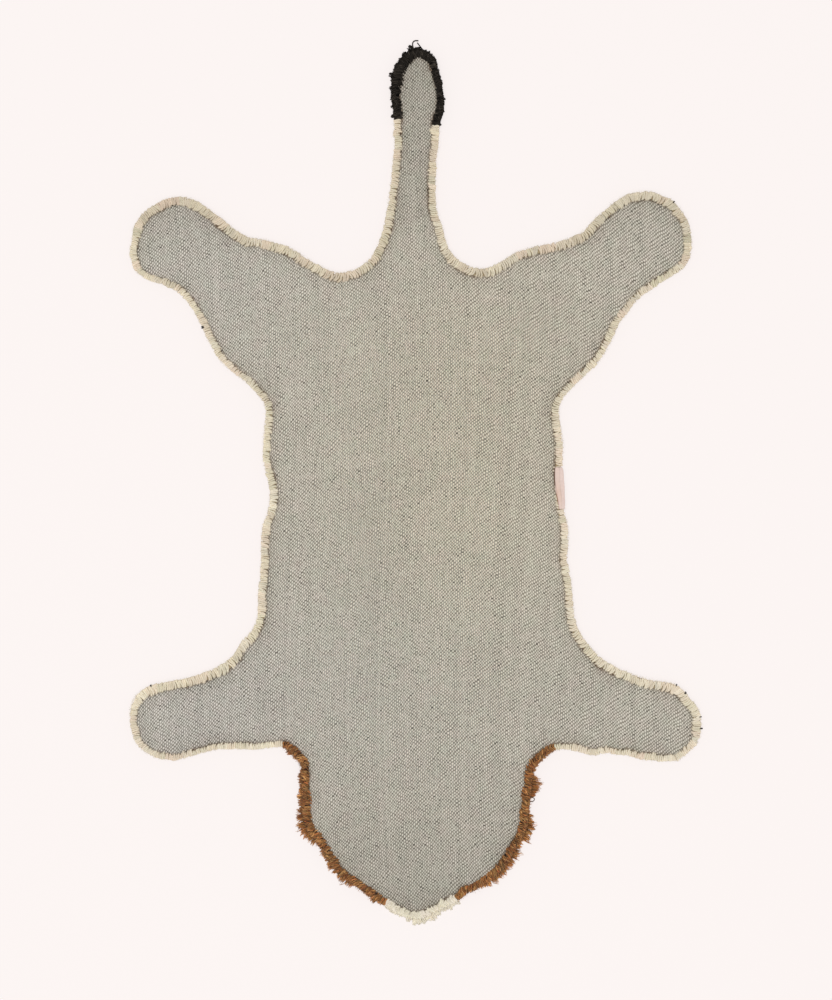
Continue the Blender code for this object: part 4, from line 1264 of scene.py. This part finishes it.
# Long stray ends: the yarn, the width, and the points that it passes.
STRAYS = (
    ("black", 1.5, ((-2, 456, 8), (-3, 459.5, 9), (-3.1, 462.2, 9), (-2, 464.2, 8.5),
                    (0, 465, 8), (3, 465, 7.5))),
    ("black", 1.3, ((8.2, 454.8, 8), (5.6, 457.8, 9), (3.6, 460.4, 9.5), (1.8, 462.6, 9))),
    ("black", 1.3, ((-2, 456.6, 8), (0.6, 457.2, 9), (3.6, 458, 9), (5.6, 457.4, 8))),
    ("brown", 1.0, ((118.2, -332.2, 7), (121.4, -330.4, 8), (124.4, -331, 8),
                    (125.4, -332.6, 7.5), (123.8, -334.8, 7), (120.6, -335.2, 7),
                    (117.6, -334.4, 7))),
)
STRAY_STATIONS = 24
STRAY_SIDES = 6
STRAY_SMOOTHING = 2


def add_strays(shape, yarn, rng):
    """The long stray ends of one yarn."""
    for stray_yarn, width, points in STRAYS:
        if stray_yarn == yarn:
            marks = np.linspace(0.0, 1.0, len(points))
            fine = np.linspace(0.0, 1.0, STRAY_STATIONS)
            path = np.stack([np.interp(fine, marks, column) for column in zip(*points)], axis=-1)
            for _ in range(STRAY_SMOOTHING):
                path[1:-1] = 0.25 * path[:-2] + 0.5 * path[1:-1] + 0.25 * path[2:]
            add_tubes(shape, path[None], UP, width, yarn_colours(yarn, rng, 1), PALE_SIDE_SHADE,
                      STRAY_SIDES)


def make_shag(number, key, name, materials):
    """One piece of shag: a lumpy slab with its fringe."""
    rng = chance("shag", number)
    shape = Shape()
    yarn = next(row.yarn for row in STRETCHES if row.key == key)
    start, end = SPANS[key]
    outline = EDGE.inset(evenly(start, end, SHAG_RIM_PITCH), PILE_EDGE)
    if key != "tail_tip":
        inner = shag_inner(key, evenly(start, end, SHAG_LINE_PITCH))
        outline = np.vstack([outline, inner[::-1]])
    # The slab under the fringe takes the roots' painted shade.
    colour = np.mean(YARNS[yarn].colours, axis=0) * SHAGS[yarn].root_shade
    add_slab(shape, outline, SHAG_GRID, rng, colour, SHAG_LUMPS)
    for row in FRINGE_ROWS:
        add_fringe_row(shape, key, yarn, row, rng)
    add_spikes(shape, key, yarn, rng)
    add_strays(shape, yarn, rng)
    return shape.finish(name, materials[yarn], yarn + "_shag", "pile_" + key)


# ---- Label ----
# The label's sides, from its end towards the tail to its end towards the head.
LABEL_OUTER = ((154.7, 16.4), (156.1, -5.0), (156.7, -27.2))
LABEL_INNER = ((146.2, 16.8), (147.8, -5.0), (151.4, -27.8))
# The label's upper face as it folds over the binding: share of the way in from its outer side,
# height over the canvas, and painted light and shade: darker in the crease and at the inner
# edge, lighter over the outer fold.
FOLD_SHARE, FOLD_HEIGHT, FOLD_LIGHT = np.array((
    (1.15, 0.60, 0.90), (1.08, 1.10, 1.00), (1.04, 1.50, 1.00), (1.00, 1.85, 0.80),
    (0.94, 2.05, 0.96), (0.80, 2.15, 1.00), (0.62, 2.30, 1.00), (0.52, 2.32, 0.96),
    (0.46, 2.24, 0.90), (0.40, 2.32, 0.98), (0.26, 2.25, 1.02), (0.12, 1.85, 1.04),
    (0.03, 1.10, 1.06), (0.00, 0.20, 1.06), (0.02, -0.90, 1.00),
)).T
LABEL_STATIONS = 18
LABEL_SHEET = 0.45
LABEL_CROWN = 0.46          # the fold's share where the tape turns down
LABEL_SEAM = 1.02           # the stitches show past this share
# How much narrower the label is at its two ends, and how fast it widens from them.
LABEL_NARROWING, LABEL_WIDENING_RATE = (0.24, 0.10), 22.0
# Waves along the tape, as height and rate: two to the side, each past a share of the fold, and
# one upward past the crown.
LABEL_WAVES = ((0.22, 11.0, 0.2), (0.14, 17.0, -1.0))
LABEL_CURL = (0.25, 3.0 * np.pi)
LABEL_COLOUR = linear(243, 218, 205)
LABEL_OUTER_COLOUR = linear(249, 225, 215)
# The stitches' colour along the label, with painted shadow of its raised inner edge where they
# are darkest: dark at first, hidden in the middle, then brown.
LABEL_STITCHES_AND_SHADOW = (
    (0.42, linear(112, 86, 68)), (0.50, LABEL_COLOUR), (0.60, LABEL_COLOUR),
    (0.66, linear(158, 112, 78)),
)
LABEL_BLUSH = np.array([0.0, 0.09, 0.14])       # how much pinker the tape is where it is worn
LABEL_BLUSH_PLACE, LABEL_BLUSH_REACH = 0.62, 0.34
LABEL_BLUSH_SHARES, LABEL_BLUSH_AMOUNTS = (0.3, 0.9), (0.2, 1.0)


def side_points(corners, shares):
    """Points on a smooth side through three corners."""
    first, middle, last = (np.array(corner) for corner in corners)
    control = 2.0 * middle - 0.5 * (first + last)
    t = shares[:, None]
    return (1.0 - t) ** 2 * first + 2.0 * t * (1.0 - t) * control + t * t * last


def label_points(along):
    """The label's points at shares of the way along it, and across its fold."""
    outer, inner = side_points(LABEL_OUTER, along), side_points(LABEL_INNER, along)
    upper_end, lower_end = LABEL_NARROWING
    width = 1.0 - upper_end * np.exp(-LABEL_WIDENING_RATE * along)
    width = width - lower_end * np.exp(-LABEL_WIDENING_RATE * (1.0 - along))
    across = 0.5 + (FOLD_SHARE - 0.5) * width[:, None]
    spots = outer[:, None, :] + (inner - outer)[:, None, :] * across[..., None]
    for height, rate, start in LABEL_WAVES:
        spots[..., 0] += (height * np.sin(rate * along))[:, None] * (FOLD_SHARE > start)
    height, rate = LABEL_CURL
    curl = height * np.cos(rate * along)[:, None] * (FOLD_SHARE > LABEL_CROWN)
    return with_height(spots, CLOTH_TOP + FOLD_HEIGHT + curl)


def label_colours(along):
    """The colours of the label's points."""
    colours = np.where((FOLD_SHARE < LABEL_CROWN)[:, None], LABEL_OUTER_COLOUR, LABEL_COLOUR)
    blush = np.clip(1.0 - np.abs(along - LABEL_BLUSH_PLACE) / LABEL_BLUSH_REACH, 0.0, 1.0)
    blush = blush[:, None] * np.interp(FOLD_SHARE, LABEL_BLUSH_SHARES, LABEL_BLUSH_AMOUNTS)
    colours = colours * (1.0 - blush[..., None] * LABEL_BLUSH)
    # stitches, and painted shadow along the label's inner edge
    marks, shades = zip(*LABEL_STITCHES_AND_SHADOW)
    stitches = np.column_stack([np.interp(along, marks, channel) for channel in zip(*shades)])
    colours = np.where((FOLD_SHARE > LABEL_SEAM)[:, None], stitches[:, None, :], colours)
    # painted light and shade across the fold
    return colours * FOLD_LIGHT[:, None]


def make_label():
    """The pink label, folded over the binding of the right flank and left bare."""
    along = np.linspace(0.0, 1.0, LABEL_STATIONS)
    points = label_points(along)
    rows, columns = points.shape[:2]
    corner = np.arange(rows - 1)[:, None] * columns + np.arange(columns - 1)
    quads = np.stack([corner, corner + 1, corner + columns + 1, corner + columns], -1)
    shape = Shape()
    shape.add(points, [quads.reshape(-1, 4)], label_colours(along))
    piece = shape.finish("bare_label", label_material(), "woven_label", "side_label")
    solidify = piece.modifiers.new("thickness", "SOLIDIFY")
    solidify.thickness = LABEL_SHEET * MM
    solidify.offset = -1.0
    smooth = piece.modifiers.new("smooth", "SUBSURF")
    smooth.levels = smooth.render_levels = 1
    return piece


# ---- Stage ----
PIXEL = 1.05                # millimetres of the rug to a pixel of the photograph
PHOTO_WIDTH, PHOTO_HEIGHT = 832, 1000
PHOTO_ORIGIN = (415.5, 483.0)
LENS = 100.0
SENSOR = 36.0
BACKDROP = (*linear(252, 245, 243), 1.0)
FLOOR_HALF = 15.0           # half the floor's side, in metres
FLOOR_DROP = 0.0002
FLOOR_DIFFUSE = 0.20        # share of the backdrop's colour that the lamps bring out
FLOOR_GLOW = 0.812          # strength of its own light, which gives the rest
SURROUND_STRENGTH = 0.56
SOFTBOX_SIZE = 2.4
SOFTBOX_POWER = 78.8
SOFTBOX_PLACE = (-0.3, -0.4, 4.2)


def make_camera():
    """A camera straight above, framing the rug as the photograph does."""
    data = bpy.data.cameras.new("overhead")
    data.lens = LENS
    data.sensor_width = SENSOR
    camera = add_object("overhead", data)
    distance = PHOTO_HEIGHT * PIXEL * LENS / SENSOR
    camera.location = (
        (PHOTO_WIDTH / 2 - PHOTO_ORIGIN[0]) * PIXEL * MM,
        (PHOTO_ORIGIN[1] - PHOTO_HEIGHT / 2) * PIXEL * MM,
        (CLOTH_TOP + distance) * MM,
    )
    bpy.context.scene.camera = camera


def make_floor():
    """A plain pale floor."""
    mesh = bpy.data.meshes.new("floor")
    sides = ((-1, -1), (1, -1), (1, 1), (-1, 1))
    mesh.from_pydata([(x * FLOOR_HALF, y * FLOOR_HALF, 0.0) for x, y in sides], [], [(0, 1, 2, 3)])
    floor = add_object("floor", mesh)
    floor.location.z = -FLOOR_DROP
    material = bpy.data.materials.new("floor")
    material.use_nodes = True
    plug(material.node_tree.nodes["Principled BSDF"], {
        "Base Color": (*(FLOOR_DIFFUSE * np.array(BACKDROP[:3])), 1.0),
        "Roughness": 1.0,
        "Specular IOR Level": 0.0,
        "Emission Color": BACKDROP,
        "Emission Strength": FLOOR_GLOW,
    })
    mesh.materials.append(material)


def make_light():
    """A soft overhead light and an even surrounding one, with colours shown as they are."""
    world = bpy.data.worlds.new("surround")
    world.use_nodes = True
    plug(world.node_tree.nodes["Background"],
         {"Color": (*WHITE, 1.0), "Strength": SURROUND_STRENGTH})
    bpy.context.scene.world = world
    data = bpy.data.lights.new("softbox", "AREA")
    data.shape = "SQUARE"
    data.size = SOFTBOX_SIZE
    data.energy = SOFTBOX_POWER
    add_object("softbox", data).location = SOFTBOX_PLACE
    bpy.context.scene.view_settings.view_transform = "Standard"


SHAG_PIECES = (
    ("tail_tip", "tail_tip_shag"), ("mane_left", "mane_shag_left"), ("chin", "chin_shag"),
    ("mane_right", "mane_shag_right"),
)


def build():
    """Every piece of the rug."""
    canvas, area = make_canvas()
    materials = {yarn: yarn_material(yarn) for yarn in YARNS}
    with_canvas = [make_binding(number, row, materials[row.yarn])
                   for number, row in enumerate(STRETCHES)]
    with_canvas.append(make_label())
    pile = make_body_pile(materials["cream"])
    for number, (key, name) in enumerate(SHAG_PIECES):
        make_shag(number, key, name, materials)


make_camera()
make_floor()
make_light()
build()
